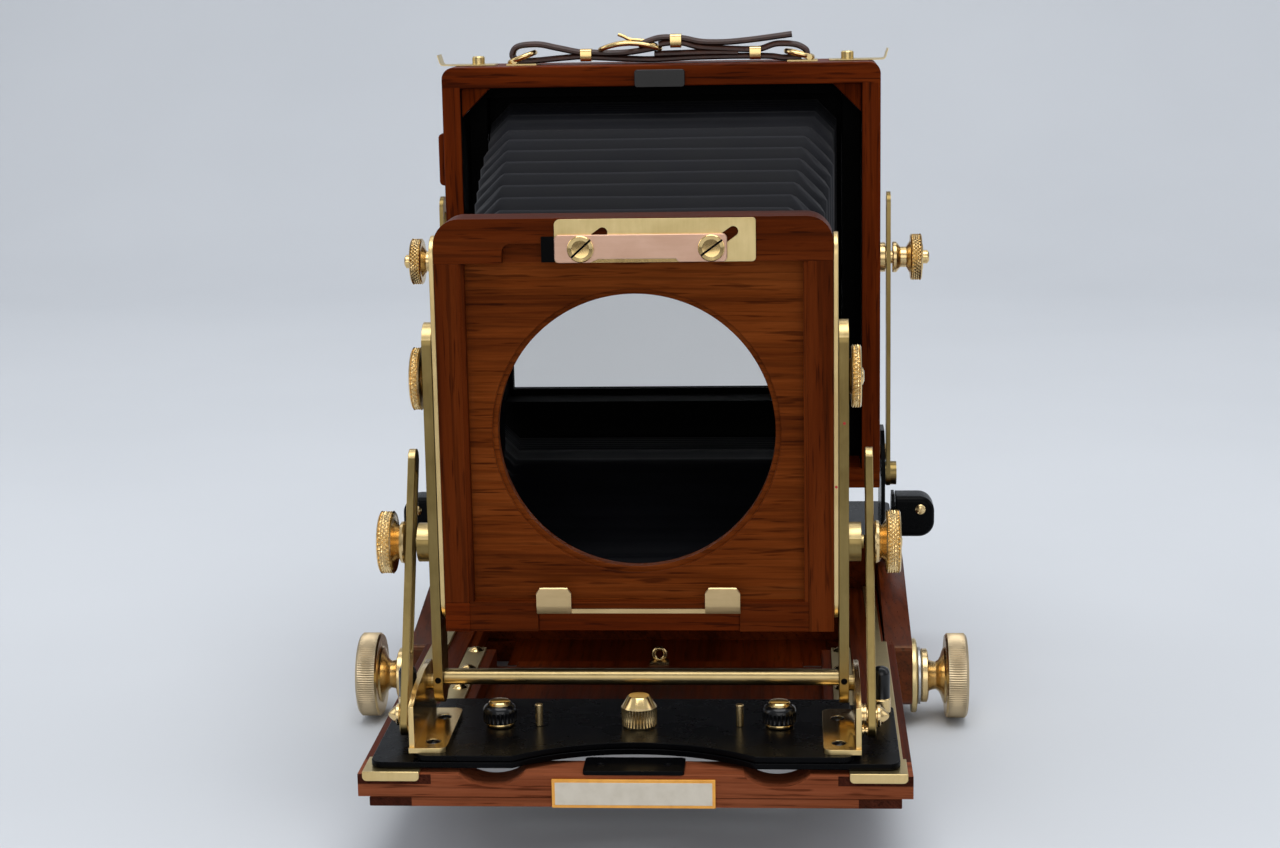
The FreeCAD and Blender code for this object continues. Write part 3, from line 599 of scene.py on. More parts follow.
def wire_tube(bm, path, radius, sides=12, closed=False):
    """A bent wire along a 3-D path."""
    n = len(path)
    loops = []
    for i in range(n):
        a = Vector(path[(i - 1) % n] if closed else path[max(i - 1, 0)])
        b = Vector(path[(i + 1) % n] if closed else path[min(i + 1, n - 1)])
        t = (b - a).normalized()
        side = Vector((0, 0, 1)).cross(t)
        side = side.normalized() if side.length > 0.2 else Vector((0, 1, 0))
        up = t.cross(side)
        loops.append([bm.verts.new(Vector(path[i]) + side * (radius * math.cos(math.tau * s / sides))
                                   + up * (radius * math.sin(math.tau * s / sides)))
                      for s in range(sides)])
    return skin(bm, loops, around=closed, caps=not closed)


def sheet(rims, front, back):
    """A flat sheet square to Y: an outline followed by the outlines of its holes."""
    drawn = bpy.data.curves.new("outline", "CURVE")
    drawn.dimensions = "2D"
    drawn.fill_mode = "BOTH"
    drawn.extrude = (back - front) / 2
    for rim in rims:
        spline = drawn.splines.new("POLY")
        spline.points.add(len(rim) - 1)
        spline.use_cyclic_u = True
        for point, (x, z) in zip(spline.points, rim):
            point.co = (x, z, 0, 1)
    holder = bpy.data.objects.new("outline", drawn)
    mesh = bpy.data.meshes.new_from_object(holder)
    bm = bmesh.new()
    bm.from_mesh(mesh)
    bmesh.ops.remove_doubles(bm, verts=bm.verts, dist=0.001 * MM)
    for v in bm.verts:
        v.co = (v.co.x, (front + back) / 2 - v.co.z, v.co.y)
    bpy.data.objects.remove(holder)
    bpy.data.curves.remove(drawn)
    bpy.data.meshes.remove(mesh)
    return bm


def tidy(bm):
    bmesh.ops.recalc_face_normals(bm, faces=bm.faces)
    return bm


# ---- bellows ----
PLEAT = 12.0 * MM
FOLD = 1.8 * MM
DIP = 3.0 * MM
HALF_FRONT = 49.0 * MM
HALF_REAR = 60.5 * MM
BELLOWS_Y0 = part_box("bellows_front")[0].y
BELLOWS_Y1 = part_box("bellows_rear")[1].y
STACK_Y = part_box("bellows_fold")[1].y
LENS_Z = (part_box("lens_panel")[0].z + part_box("lens_panel")[1].z) / 2
REAR_Z = (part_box("rear_frame")[0].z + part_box("rear_frame")[1].z) / 2


def pleat_phase(y):
    run = (min(y, STACK_Y) - BELLOWS_Y0 + 4.0 * MM) / PLEAT
    return run + max(0.0, y - STACK_Y) / (BELLOWS_Y1 - STACK_Y) * 6.0


def pleat_wave(y):
    """Height of the pleats at y, from -1 in a valley to 1 on a ridge; flatter at the rear."""
    saw = 1 - 2 * abs(2 * (pleat_phase(y) % 1.0) - 1)
    t = min(1.0, max(0.0, (y - (STACK_Y - 30 * MM)) / (22 * MM)))
    return (0.75 * saw + 0.25 * math.sin(saw * math.pi / 2)) * (1 - 0.85 * t * t * (3 - 2 * t))


def ring(y):
    """The section of the bellows at y: eight sides, whose corners widen on each ridge."""
    t = (y - BELLOWS_Y0) / (BELLOWS_Y1 - BELLOWS_Y0)
    phase = pleat_phase(y)
    wave = pleat_wave(y)
    half = HALF_FRONT + (HALF_REAR - HALF_FRONT) * t
    zc = LENS_Z + (REAR_Z - LENS_Z) * t
    grow = (FOLD if wave > 0 else DIP) * wave
    c = 6.5 * MM + 3.5 * MM * wave
    h = half + grow
    flip = 1 if int(phase) % 2 else -1
    corners = [(h, h - c), (h - c, h), (c - h, h), (-h, h - c), (-h, c - h), (c - h, -h), (h - c, -h),
               (h, c - h)]
    points = []
    for i, (x0, z0) in enumerate(corners):
        x1, z1 = corners[(i + 1) % 8]
        steps = 2 if i % 2 == 0 else 22
        for k in range(steps):
            s = k / steps
            sag = 0.0
            if steps > 2:
                sag = 0.15 * MM * math.sin(math.pi * s) * math.sin(5 * s + 2.1 * int(phase) + i) * wave
            x = x0 + (x1 - x0) * s
            z = z0 + (z1 - z0) * s
            if i in (1, 5):
                z += sag
            elif i in (3, 7):
                x += sag
            elif k:
                x += 0.5 * MM * flip * (1 if z > 0 else -1) * wave
            points.append((x, y, z + zc))
    return points


def bellows_section(name, y0, y1, stands_for):
    """The cloth between two stations, from y0 to y1."""
    steps = max(4, round((y1 - y0) / (1.0 * MM if y1 <= STACK_Y + 1e-6 else 0.39 * MM)))
    bm = bmesh.new()
    rows = [[bm.verts.new(p) for p in ring(y0 + (y1 - y0) * i / steps)] for i in range(steps + 1)]
    n = len(rows[0])
    obj = piece(name, tidy(skin(bm, rows)), [CLOTH], None, stands_for, angle=70)
    # The ridge value sets where the cloth gets its painted highlight: on the pleat ridges.
    ridge_highlight = obj.data.attributes.new("ridge", "FLOAT", "POINT")
    for i in range(steps + 1):
        level = max(0.0, (pleat_wave(y0 + (y1 - y0) * i / steps) - 0.72) / 0.28) ** 2
        for k in range(n):
            ridge_highlight.data[i * n + k].value = level
    mod = obj.modifiers.new("cloth", "SOLIDIFY")
    mod.thickness = 0.6 * MM
    mod.offset = -1.0
    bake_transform(obj)
    return obj


def make_bellows():
    front, swing = BELLOWS_Y0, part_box("bellows_swing")[0].y
    turn = swing + 8 * MM
    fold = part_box("bellows_fold")[0].y
    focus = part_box("bellows_rear")[0].y
    bellows_section("bellows_rise_part", front, swing, "bellows_front")
    bellows_section("bellows_tilt_part", swing, turn, ())
    bellows_section("bellows_swing_part", turn, fold, "bellows_swing")
    bellows_section("bellows_long_part", fold, STACK_Y, "bellows_fold")
    bellows_section("bellows_stack_part", STACK_Y, focus, "bellows_focus")
    bellows_section("bellows_rear_swing_part", focus, focus + 2 * MM, ())
    bellows_section("bellows_rear_tilt_part", focus + 2 * MM, BELLOWS_Y1,
                    "bellows_rear")


# ---- knobs ----
def turned_knob(name, node, place, axis, profile, mats, indices, knurl, sides):
    bm = bmesh.new()
    turned_mesh(bm, in_metres(profile), place, axis, sides, indices, knurl)
    piece(name, tidy(bm), mats, BODY_OF[node], node, angle=28)


def side_knob(name, node, profile, mats, indices, knurl, sides, out):
    """A knob turned about X; profile in mm from its inner end."""
    lo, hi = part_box(node)
    length = profile[-1][0] * MM
    x = hi.x - length if out > 0 else lo.x + length
    turned_knob(name, node, (x, (lo.y + hi.y) / 2, (lo.z + hi.z) / 2), (out, 0, 0), profile, mats,
                indices, knurl, sides)


def post_knob(name, node, profile, mats, indices, knurl=None, sides=48):
    """A knob turned about Z; profile in mm from its foot."""
    lo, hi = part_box(node)
    turned_knob(name, node, ((lo.x + hi.x) / 2, (lo.y + hi.y) / 2, lo.z), (0, 0, 1), profile, mats,
                indices, knurl, sides)


def make_knobs():
    upper = [(0, 2.1), (2.8, 2.1), (2.8, 4.4), (3.0, 5.0), (3.35, 5.2), (3.5, 6.0), (3.5, 8.6),
             (3.9, 9.1), (5.9, 9.1), (6.3, 8.5), (6.3, 6.9), (6.05, 6.6), (6.05, 3.2), (6.3, 2.6),
             (6.8, 2.3), (7.2, 1.3), (7.2, 0.05)]
    lower = [(0, 5.9), (0.4, 6.2), (1.2, 6.0), (2.0, 4.6), (2.6, 5.4), (3.2, 6.6), (3.2, 8.7),
             (3.6, 9.2), (7.0, 9.2), (7.4, 8.6), (7.4, 7.2), (7.1, 6.9), (7.1, 3.0), (7.4, 2.4),
             (7.8, 1.7), (8.0, 1.0), (8.0, 0.05)]
    rear = [(0, 5.0), (0.3, 5.2), (1.9, 5.2), (2.2, 4.8), (2.2, 2.3), (4.6, 2.3), (4.6, 5.2),
            (4.9, 5.4), (5.9, 5.4), (6.2, 5.1), (7.4, 3.6), (9.4, 3.6), (10.8, 6.0), (10.8, 7.7),
            (11.2, 8.2), (14.4, 8.2), (14.8, 7.7), (14.8, 5.0), (15.2, 4.6), (15.2, 2.4), (16.8, 2.4),
            (17.4, 1.6), (17.4, 0.05)]
    focus = [(0.0, 8.7), (0.5, 9.0), (2.0, 9.0), (2.4, 8.2), (2.4, 5.6), (3.4, 5.0), (5.0, 4.6),
             (6.0, 5.3), (6.6, 6.4), (7.2, 8.2), (7.6, 9.2), (8.2, 9.6), (8.2, 13.5), (8.8, 14.15),
             (14.6, 14.15), (15.3, 13.4), (15.5, 12.6), (15.1, 12.2), (15.1, 6.2), (15.6, 5.6),
             (16.0, 4.6), (16.0, 0.05)]
    kinds = (("upper_knob", upper, POLISHED, 9, {7: ("diamond", 40, 0.70 * MM, 9)}, 320),
             ("lower_knob", lower, POLISHED, 10, {7: ("diamond", 40, 0.70 * MM, 15)}, 320),
             ("rear_knob", rear, POLISHED, 16, {14: ("diamond", 36, 0.65 * MM, 13)}, 288),
             ("focus_knob", focus, PALE_BRASS, 13, {13: ("straight", 110, 0.38 * MM, 3)}, 660))
    for side, out in (("left", -1), ("right", 1)):
        for kind, profile, trim, plain, knurl, sides in kinds:
            node = "focus_knobs" if kind == "focus_knob" else "%s_%s" % (kind, side)
            indices = [0] * plain + [1] * (len(profile) - plain)
            side_knob("%s_%s_turned" % (kind, side), node, profile, [TURNED, trim], indices, knurl,
                      sides, out)
    post_knob("swing_knob_turned", "swing_knob",
              [(0, 2.6), (3.1, 2.6), (3.1, 4.6), (3.4, 5.0), (4.0, 5.1), (9.3, 5.2), (9.9, 4.8),
               (12.1, 3.4), (12.5, 3.0), (12.5, 0.05)],
              [TURNED, POLISHED], [0] * 6 + [1] * 4, {4: ("straight", 34, 0.5 * MM, 3)}, 272)
    for side in ("left", "right"):
        post_knob("plate_knob_%s_moulded" % side, "plate_knob_" + side,
                  [(0, 4.1), (0.2, 4.2), (0.9, 4.2), (1.1, 4.1), (1.2, 4.75), (1.6, 4.9), (4.5, 4.9),
                   (5.3, 4.75), (5.9, 4.3), (6.3, 3.6), (6.3, 3.2), (7.0, 3.15), (7.3, 2.8), (7.4, 2.3),
                   (7.4, 0.03)],
                  [GRIP, POLISHED], [1] * 4 + [0] * 6 + [1] * 5,
                  {5: ("straight", 24, 0.35 * MM, 3)}, 192)
        post_knob("lock_post_%s_turned" % side, "lock_post_" + side,
                  [(0, 2.9), (0.2, 3.0), (4.6, 3.0), (4.8, 2.8), (5.0, 2.72), (12.2, 2.72), (13.0, 2.6),
                   (13.8, 2.1), (14.3, 1.2), (14.4, 0.3), (14.4, 0.03)],
                  [GRIP, TURNED], [1] * 4 + [0] * 7)


# ---- lens standard ----
def make_lens_frame():
    lo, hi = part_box("lens_frame")
    panel_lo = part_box("lens_panel")[0]
    top = LENS_Z + 49.5 * MM
    base = LENS_Z - 49.5 * MM
    side = 48.0 * MM
    deep = panel_lo.y
    bm = bmesh.new()
    r = 7.5 * MM
    notch = arc((-34.5 * MM, top + 3.0 * MM), 2.5 * MM, 180, 90, 6)
    rim = [(hi.x, top), *arc((hi.x - r, hi.z - r), r, 0, 90, 10),
           *arc((lo.x + r, hi.z - r), r, 90, 180, 10), (lo.x, top)]
    cut = [(-37.0 * MM, top), *notch, (-21.0 * MM, top + 5.5 * MM), (-21.0 * MM, top)]
    prism(bm, rim + cut, "y", lo.y, deep - 0.1 * MM)
    prism(bm, rim, "y", deep - 0.1 * MM, hi.y)
    step = 0.3 * MM
    foot = base - 0.2 * MM
    lap = side + 1.3 * MM
    tongue = 29.3 * MM
    for s in (1, -1):
        section = [(s * side, lo.y + step), (s * lap, lo.y + step), (s * lap, lo.y), (s * hi.x, lo.y),
                   (s * hi.x, hi.y), (s * 51.0 * MM, hi.y), (s * 51.0 * MM, deep), (s * side, deep)]
        prism(bm, section, "z", foot if s < 0 else lo.z, top, 1)
    boxed(bm, (lo.x, lo.y, lo.z), (-lap, hi.y, foot), 2)
    for s in (1, -1):
        x0, x1 = sorted((s * tongue, s * lap))
        boxed(bm, (x0, lo.y + 0.15 * MM, lo.z), (x1, hi.y, base))
    boxed(bm, (-tongue, lo.y + 0.1 * MM, lo.z + 5.6 * MM), (tongue, hi.y, base))
    boxed(bm, (-tongue, lo.y + 1.2 * MM, lo.z), (tongue, hi.y, lo.z + 5.6 * MM), 2)
    piece("lens_frame_boards", tidy(bm), [CHERRY_ALONG["x"], CHERRY_ALONG["z"], DEEP_ALONG["x"]], "lens",
          "lens_frame", 0.35 * MM, 3)


def make_panel():
    lo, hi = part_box("lens_panel")
    cx, cz = (lo.x + hi.x) / 2, (lo.z + hi.z) / 2
    hx, hz = (hi.x - lo.x) / 2, (hi.z - lo.z) / 2
    corner = math.atan2(hz, hx)
    angles = sorted([math.tau * k / 160 for k in range(160)]
                    + [corner, math.pi - corner, math.pi + corner, math.tau - corner])
    bm = bmesh.new()

    def loop(radius, y):
        row = []
        for a in angles:
            c, s = math.cos(a), math.sin(a)
            d = radius
            if radius is None:
                d = min(hx / abs(c) if abs(c) > 1e-6 else 9, hz / abs(s) if abs(s) > 1e-6 else 9)
            row.append(bm.verts.new((cx + c * d, y, cz + s * d)))
        return row

    rebate, hole = 41.5 * MM, 40.0 * MM
    e = 0.22 * MM
    loops = [loop(None, lo.y), loop(rebate + e, lo.y), loop(rebate, lo.y + e),
             loop(rebate, lo.y + 1.2 * MM), loop(hole + e, lo.y + 1.2 * MM), loop(hole, lo.y + 1.2 * MM + e),
             loop(hole, hi.y), loop(None, hi.y)]
    skin(bm, loops, around=True)
    piece("lens_panel_board", tidy(bm), [PANEL_WOOD], "lens", "lens_panel", angle=25)


def make_latch():
    lo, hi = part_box("latch_bar")
    y0 = lo.y + 1.3 * MM
    bm = bmesh.new()
    notch = [(lo.x + 10.1 * MM, lo.z), (lo.x + 12.3 * MM, lo.z + 1.0 * MM),
             (hi.x - 14.4 * MM, lo.z + 1.0 * MM), (hi.x - 13.6 * MM, lo.z)]
    prism(bm, rounded_rect(lo.x, hi.x, lo.z, hi.z, 1.3 * MM) + notch, "y", y0, y0 + 1.3 * MM)
    piece("latch_bar_strip", tidy(bm), [COPPER], "lens", "latch_bar", 0.25 * MM, 3)
    heads = bmesh.new()
    z = lo.z + 4.0 * MM
    places = (lo.x + 7.5 * MM, hi.x - 4.4 * MM)
    for x, turn in zip(places, (42.0, 36.0)):
        # Each slot floor takes the black lacquer: painted shade inside the slot.
        screw(heads, (x, y0, z), (0, -1, 0), 3.75 * MM, 1.3 * MM, 0.60 * MM, 1.1 * MM, turn, True, 0, 1)
    boxed(heads, (lo.x + 10.0 * MM, y0 + 0.1 * MM, lo.z + 0.1 * MM),
          (hi.x - 13.7 * MM, y0 + 1.2 * MM, lo.z + 1.1 * MM))
    piece("latch_screws", tidy(heads), [POLISHED, BLACK], "lens", (), angle=16)

    low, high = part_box("latch_plate")
    front = y0 + 1.3 * MM
    left = lo.x
    rims = [rounded_rect(left, high.x, low.z, high.z, [1.1 * MM, 0.9 * MM, 1.6 * MM, 0.9 * MM])]
    for x in places:
        rims.append(arc((x, z), 1.45 * MM, 126, 306, 8)
                    + arc((x + 6.1 * MM, z + 4.4 * MM), 1.45 * MM, -54, 126, 8))
    bm = sheet(rims, front, high.y)
    boxed(bm, (low.x, front, low.z + 0.2 * MM), (left, high.y, low.z + 7.4 * MM), 1)
    piece("latch_plate_slotted", tidy(bm), [SATIN, MATT_BLACK], "lens",
          "latch_plate", 0.15 * MM)

    lo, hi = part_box("lower_lip")
    bm = bmesh.new()
    boxed(bm, (lo.x, hi.y - 1.0 * MM, lo.z), (hi.x, hi.y, lo.z + 1.3 * MM))
    width = 10.1 * MM
    for x0 in (lo.x, hi.x - width):
        part = bmesh.new()
        n = 10
        rows = []
        for k in range(n + 1):
            t = k / n
            x = x0 + width * t
            edge = min(t, 1 - t) * width
            drop = 1.5 * MM - math.sqrt(max(0.0, (1.5 * MM) ** 2 - max(0.0, 1.5 * MM - edge) ** 2))
            top = hi.z - drop
            crease = lo.z + 2.3 * MM
            rows.append([(x, lo.y + 0.9 * MM, lo.z), (x, lo.y + 0.12 * MM, crease - 0.25 * MM),
                         (x, lo.y, crease + 0.4 * MM), (x, lo.y + 0.1 * MM, top - 0.3 * MM),
                         (x, lo.y + 0.4 * MM, top), (x, lo.y + 1.0 * MM, top - 0.2 * MM),
                         (x, lo.y + 1.0 * MM, crease), (x, hi.y, lo.z + 0.8 * MM), (x, hi.y, lo.z)])
        merged(bm, skin(part, [[part.verts.new(p) for p in row] for row in rows], caps=True))
    piece("lower_lip_tabs", tidy(bm), [LIP], "lens", "lower_lip", angle=28)


# ---- front standard hardware ----
def make_standard_metal():
    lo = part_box("brackets")[0]
    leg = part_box("swing_plate")[1].x + 2.2 * MM
    pin_y, pin_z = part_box("struts")[0].y + 4.54 * MM, 41.0 * MM
    refined("brackets", [EDGE, POLISHED], 0.2 * MM,
            lambda c, n: 1 if abs(n.x) > 0.9 or n.z > 0.9 else 0,
            drop=lambda c: abs(c.x) > leg + 0.03 * MM)
    pins = bmesh.new()
    barrel = [(0, 3.2), (0.15, 3.4), (0.75, 3.4), (0.85, 3.15), (1.0, 3.15), (1.1, 3.4), (1.65, 3.4),
              (1.8, 3.2), (1.8, 2.2), (4.7, 2.2), (4.7, 3.0), (4.9, 3.2), (5.6, 3.2), (5.8, 2.9),
              (5.9, 2.5), (6.4, 2.3), (7.8, 1.0), (8.2, 0.5), (8.2, 0.02)]
    for s in (1, -1):
        turned_mesh(pins, in_metres(barrel), (s * leg, pin_y, pin_z), (s, 0, 0), 48)
    piece("strut_pivots", tidy(pins), [TURNED], "swing", (), angle=28)
    clips = bmesh.new()
    small = [(0, 1.5), (0.1, 1.7), (0.6, 1.7), (0.7, 0.8), (1.0, 0.8), (1.1, 1.3), (1.8, 1.3), (1.9, 0.02)]
    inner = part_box("struts")[1].x - 2.3 * MM
    for s in (1, -1):
        turned_mesh(clips, in_metres(small),
                    (s * (inner - 1.7 * MM), pin_y - 1.6 * MM, pin_z - 3.9 * MM), (s, 0, 0), 32)
    piece("strut_clips", tidy(clips), [TURNED], "struts", (), angle=28)
    heads = bmesh.new()
    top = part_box("swing_plate")[1].z + 1.5 * MM
    for s in (1, -1):
        for y in (lo.y + 6.0 * MM, lo.y + 28.0 * MM):
            screw(heads, (s * 57.4 * MM, y, top - 0.35 * MM), (0, 0, 1), 2.05 * MM, 0.75 * MM,
                  0.6 * MM, 0.4 * MM, 30 if s > 0 else 75)
    piece("bracket_screws", tidy(heads), [GRIP], "swing", (), angle=28)

    refined("uprights", [BAR, EDGE], 0.22 * MM, lambda c, n: 1 if n.z > 0.3 else 0)
    refined("struts", [EDGE, BAR], 0.25 * MM, lambda c, n: 1 if n.y < -0.3 and c.z < 108 * MM else 0)
    refined("side_plates", [EDGE, SATIN], 0.2 * MM, lambda c, n: 1 if abs(n.x) > 0.9 else 0)
    refined("guide_blocks", SATIN, 0.15 * MM)
    dots = bmesh.new()
    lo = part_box("uprights")[0]
    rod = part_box("cross_rod")
    for s in (1, -1):
        turned_mesh(dots, [(0, 0.95 * MM), (0.12 * MM, 0.9 * MM), (0.16 * MM, 0.55 * MM),
                           (0.05 * MM, 0.4 * MM), (0.05 * MM, 0.02 * MM)],
                    (s * 59.4 * MM, lo.y, (rod[0].z + rod[1].z) / 2), (0, -1, 0), 24)
    piece("rod_pin_ends", tidy(dots), [BLACK], "uprights", (), angle=28)
    plate_lo, plate_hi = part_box("side_plates")
    for name, place, body in (
            ("upright_index", (59.5 * MM, lo.y, 123 * MM), "uprights"),
            ("side_plate_index", (plate_hi.x - 0.65 * MM, plate_lo.y, 104.5 * MM), "lens")):
        mark = turned_mesh(bmesh.new(), in_metres([(0, 0.42), (0.06, 0.38), (0.07, 0.02)]), place,
                           (0, -1, 0), 20)
        piece(name, tidy(mark), [RED], body)


# ---- bed ----
def make_bed():
    lo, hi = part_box("focus_frame")
    front = lo.y + 0.05 * MM
    patch_z = hi.z - 2.9 * MM

    def rail_part(c, n):
        if c.y > lo.y + 12.2 * MM:
            return 0
        if n.y < -0.9 and c.y < front and c.z > patch_z and abs(c.x) > 57 * MM:
            return 2
        return 1

    refined("focus_frame", [CHERRY_ALONG["y"], RAIL_WOOD, END_GRAIN], 0.3 * MM, rail_part,
            [((x * MM, 0, 0), (1, 0, 0)) for x in (-73.5, -57, 57, 73.5)]
            + [((0, 0, patch_z), (0, 0, 1)), ((0, lo.y + 12.0 * MM, 0), (0, 1, 0))])
    lo_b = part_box("bed_frame")[0]
    stile = 62.7 * MM

    def bed_part(c, n):
        if c.y > lo_b.y + 12.7 * MM:
            return 0
        return 2 if abs(c.x) > stile and n.y < -0.9 else 1

    refined("bed_frame", [CHERRY_ALONG["y"], RAIL_WOOD, END_GRAIN], 0.25 * MM, bed_part,
            [((x, 0, 0), (1, 0, 0)) for x in (-stile, stile)]
            + [((0, lo_b.y + 12.5 * MM, 0), (0, 1, 0))])
    refined("tracks", [EDGE, SATIN], 0.2 * MM, lambda c, n: 1 if n.z > 0.9 else 0)
    strip_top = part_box("bed_guides")[1].z - 1.1 * MM
    refined("bed_guides", [SATIN, POLISHED], 0.15 * MM, lambda c, n: 1 if c.z > strip_top else 0)
    heads = bmesh.new()
    lo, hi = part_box("latch_strike")
    for x in (-9.5, 9.5):
        screw(heads, (x * MM, lo.y + 5.8 * MM, hi.z - 0.5 * MM), (0, 0, 1), 1.05 * MM, 0.4 * MM,
              0.35 * MM, 0.25 * MM, 20)
    piece("strike_screws", tidy(heads), [GRIP], "rails")
    lo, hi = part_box("name_plate")
    bm = bmesh.new()
    boxed(bm, lo, hi, 0)
    rim = 0.85 * MM
    boxed(bm, (lo.x + rim, lo.y - 0.07 * MM, lo.z + rim), (hi.x - rim, hi.y - 0.1 * MM, hi.z - rim), 1)
    piece("name_plate_blank", tidy(bm), [YELLOW, CREAM], "rails", "name_plate", 0.12 * MM)


# ---- rear standard ----
def make_rear():
    lo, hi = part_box("rear_frame")
    wall = 6.4 * MM
    front = lo.y + 3.5 * MM
    cz = (lo.z + hi.z) / 2
    top_rail, low_rail = hi.z - 7.2 * MM, lo.z + 7.0 * MM

    def inside(c, n):
        if c.z > top_rail or c.z < low_rail:
            return 2
        if n.y < -0.9 and c.y < front:
            return 0
        if abs(c.x) < 75.3 * MM - wall + 0.2 * MM and lo.z + wall < c.z < hi.z - wall and n.y < 0.9:
            return 3 if abs(n.x) > 0.1 and abs(n.z) > 0.1 else 1
        return 0

    refined("rear_frame", [DEEP_ALONG["z"], MATT_BLACK, DEEP_ALONG["x"], END_GRAIN], 0.4 * MM, inside,
            [((0, 0, z), (0, 0, 1)) for z in (top_rail, low_rail)])

    def facing_in(c, n):
        return Vector((-c.x, 0, cz - c.z)).normalized().dot(Vector((n.x, 0, n.z))) > 0.5

    for node in ("back_frame", "spring_back"):
        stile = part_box(node)[1].x - 9.0 * MM
        refined(node, [CHERRY_ALONG["x"], MATT_BLACK, CHERRY_ALONG["z"]], 0.4 * MM,
                lambda c, n: 1 if n.y < -0.9 or facing_in(c, n) else (2 if abs(c.x) > stile else 0),
                [((s * stile, 0, 0), (1, 0, 0)) for s in (1, -1)])
    refined("rear_levers", BLACK, 1.1 * MM, segments=4)
    heads = bmesh.new()
    l_lo, l_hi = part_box("rear_levers")
    for s in (1, -1):
        screw(heads, (s * (l_hi.x - 5.0 * MM), l_lo.y + 0.1 * MM, l_hi.z - 4.5 * MM), (0, -1, 0),
              1.9 * MM, 0.8 * MM, 0.5 * MM, 0.4 * MM, 60)
    piece("lever_screws", tidy(heads), [TURNED], "rear_levers")


# ---- carrying strap ----
def flattened_circle(steps, power):
    """Points round a unit circle whose sides are pressed towards a square."""
    angles = [math.tau * k / steps for k in range(steps)]
    return [(math.copysign(abs(math.cos(a)) ** power, math.cos(a)),
             math.copysign(abs(math.sin(a)) ** power, math.sin(a))) for a in angles]


def make_strap():
    lo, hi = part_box("strap")
    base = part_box("rear_frame")[1].z
    y0, y1 = lo.y, hi.y
    thick = 1.85 * MM

    def run(points):
        return [(x * MM, base + z * MM) for x, z in curve(points, 7)]

    layers = [
        [(-51.0, 1.7), (-52.2, 3.6), (-50.2, 6.3), (-43.2, 6.9), (-36.6, 5.6), (-28.5, 3.9), (-24.4, 3.8),
         (-18.7, 3.5), (-12.0, 3.7), (-6.0, 4.5), (-1.5, 5.3)],
        [(-50.0, 1.2), (-44.1, 1.35), (-35.9, 2.0), (-28.5, 2.5), (-24.5, 2.25), (-14.7, 1.65),
         (-3.3, 1.2), (9.8, 1.7), (25.2, 1.9), (37.3, 1.7), (42.2, 1.1), (48.5, 1.2)],
        [(-2.5, 3.0), (9.0, 3.25), (18.0, 3.35), (26.5, 3.1)],
        [(-8.0, 5.9), (-4.8, 7.4), (0.1, 8.6), (7.4, 8.2), (13.9, 6.9), (22.0, 6.7), (30.1, 7.3),
         (38.0, 8.2), (45.2, 9.1)],
        [(-1.0, 6.3), (3.0, 6.8), (7.4, 6.7), (13.1, 5.2), (22.0, 4.5), (30.1, 4.15), (34.5, 4.3),
         (39.8, 5.9), (46.2, 5.6), (49.8, 3.9), (50.3, 2.2)],
    ]
    bm = bmesh.new()
    for i, points in enumerate(layers):
        shift = (0.0, 0.25, -0.2, 0.15, -0.1)[i] * MM
        merged(bm, ribbon(bmesh.new(), run(points), y0 + shift, y1 + shift, thick))
    piece("strap_layers", tidy(bm), [HIDE], "rear", "strap", angle=50)

    metal = bmesh.new()
    y = (y0 + y1) / 2
    for x, z_low, z_high in ((-26.3, 0.9, 5.2), (5.0, 5.2, 9.9), (32.5, 0.8, 5.3)):
        wide, deep, t = 1.9 * MM, 4.1 * MM, 0.55 * MM
        outer = rounded_rect(y - deep, y + deep, base + z_low * MM, base + z_high * MM, 1.0 * MM, 4)
        inner = rounded_rect(y - deep + t, y + deep - t, base + z_low * MM + t, base + z_high * MM - t,
                             0.6 * MM, 4)
        x0, x1 = (x * MM - wide), (x * MM + wide)
        part = bmesh.new()
        loops = []
        for outline, xx in ((outer, x0), (outer, x1), (inner, x1), (inner, x0)):
            loops.append([part.verts.new((xx, a, b)) for a, b in outline])
        merged(metal, skin(part, loops, around=True))
    buckle = [(-11 * MM + 10.4 * MM * px, y + 5.6 * MM * py, base + (4.9 + 2.1 * (1 - px * px)) * MM)
              for px, py in flattened_circle(48, 0.7)]
    wire_tube(metal, buckle, 0.85 * MM, 12, True)
    wire_tube(metal, [(-11 * MM, y - 5.2 * MM, base + 7.0 * MM), (-11 * MM, y + 5.2 * MM, base + 7.0 * MM)],
              0.75 * MM, 12)
    prong = [(p[0] * MM, y, base + p[1] * MM) for p in curve([(-1.6, 6.0), (-6.0, 7.6), (-11.0, 8.2),
                                                              (-13.2, 9.2), (-15.2, 10.0)], 6)]
    wire_tube(metal, prong, 0.65 * MM, 10)
    for cx, cz, ux, uz in ((-48.8, 2.6, 0.936, 0.351), (47.7, 2.4, 0.973, -0.230)):
        hoop = [((cx + ux * (4.6 * px)) * MM, y + 4.6 * MM * py, base + (cz + uz * (4.6 * px)) * MM)
                for px, py in flattened_circle(40, 0.8)]
        wire_tube(metal, hoop, 0.95 * MM, 12, True)
    piece("strap_keepers_and_buckle", tidy(metal), [POLISHED], "rear", "strap_hardware", angle=50)


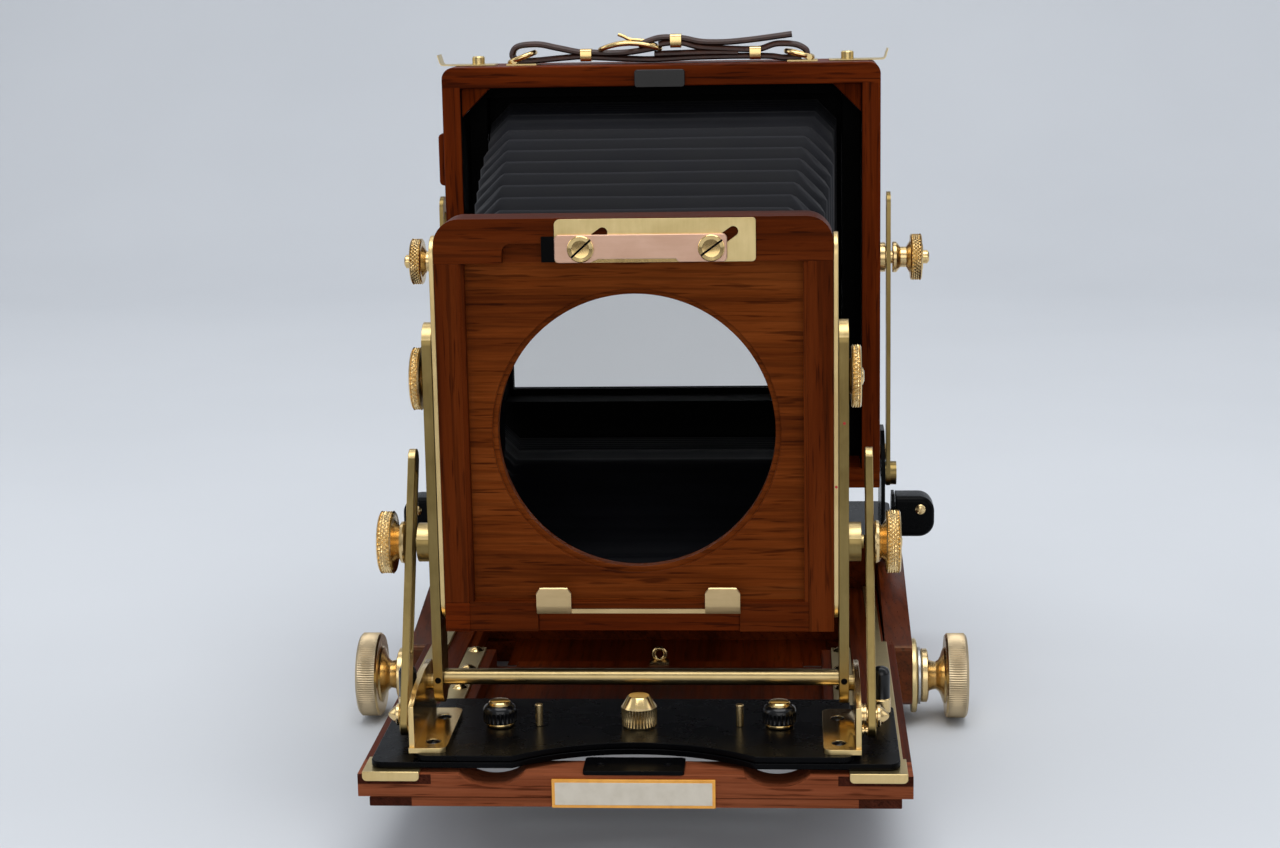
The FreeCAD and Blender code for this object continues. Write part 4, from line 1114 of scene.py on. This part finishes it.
# ---- top fittings ----
def make_top_fittings():
    """Thin strips with a turned-up end, their studs, and the loops that hold the strap."""
    lo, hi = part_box("top_fittings")
    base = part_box("rear_frame")[1].z
    y0, y1 = lo.y + 0.5 * MM, hi.y - 0.5 * MM
    y = (lo.y + hi.y) / 2
    bm = bmesh.new()
    for s in (1, -1):
        strip = [(58.0, 0.3), (76.0, 0.3), (76.9, 0.5), (77.4, 1.2), (77.7, 2.4), (78.2, 3.9)]
        ribbon(bm, [(s * x * MM, base + h * MM) for x, h in strip], y0, y1, 0.5 * MM)
        turned_mesh(bm, [(0, 2.2 * MM), (2.8 * MM, 2.2 * MM), (3.2 * MM, 1.8 * MM), (3.2 * MM, 0.05 * MM)],
                    (s * 64.3 * MM, y, base), (0, 0, 1), 40)
        x0, x1 = sorted((s * 43.5, s * 54.0))
        boxed(bm, (x0 * MM, y0, base), (x1 * MM, y1, base + 0.5 * MM))
        wire_tube(bm, [(s * 51.2 * MM, y0, base + 1.4 * MM), (s * 51.2 * MM, y1, base + 1.4 * MM)], 1.0 * MM)
    piece("top_fittings_bent", tidy(bm), [SATIN], "rear", "top_fittings", angle=40)


# ---- pieces that keep their CAD shape ----
def make_refined():
    refined("cheeks", CHEEK_WOOD, 0.6 * MM)
    refined("rear_struts", [BAR, SATIN], 0.18 * MM, lambda c, n: 1 if abs(n.x) > 0.9 else 0)
    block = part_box("rear_bed_plate")[0].y
    refined("base_body", [DEEP_ALONG["y"], PANEL_WOOD, DEEP_ALONG["x"]], 0.5 * MM,
            lambda c, n: 2 if c.y > block else int(n.y < -0.9 and c.y < -30 * MM and c.z > 8 * MM),
            [((0, block, 0), (0, 1, 0))])
    metal_nodes = {
        "bearing_plates": SATIN, "tripod_plate": SATIN, "bed_catch_ring": TURNED,
        "rear_tilt_pins": TURNED,
        "hinge_ears": SATIN, "bed_slides": SATIN, "stop_pins": TURNED, "cross_rod": ROD,
        "pinion_shaft": STEEL, "leaf_springs": STEEL, "rear_bed_plate": BLACK,
        "rear_turntable": BLACK, "rear_catch": GRIP, "latch_strike": BLACK,
        "carriage_plate": BLACK, "swing_plate": BLACK, "bellows_front_board": MATT_BLACK,
        "ground_glass": FROSTED,
    }
    for node, mat in metal_nodes.items():
        refined(node, mat, 0.18 * MM)


make_bellows()
make_knobs()
make_lens_frame()
make_panel()
make_latch()
make_standard_metal()
make_bed()
make_rear()
make_strap()
make_top_fittings()
make_refined()
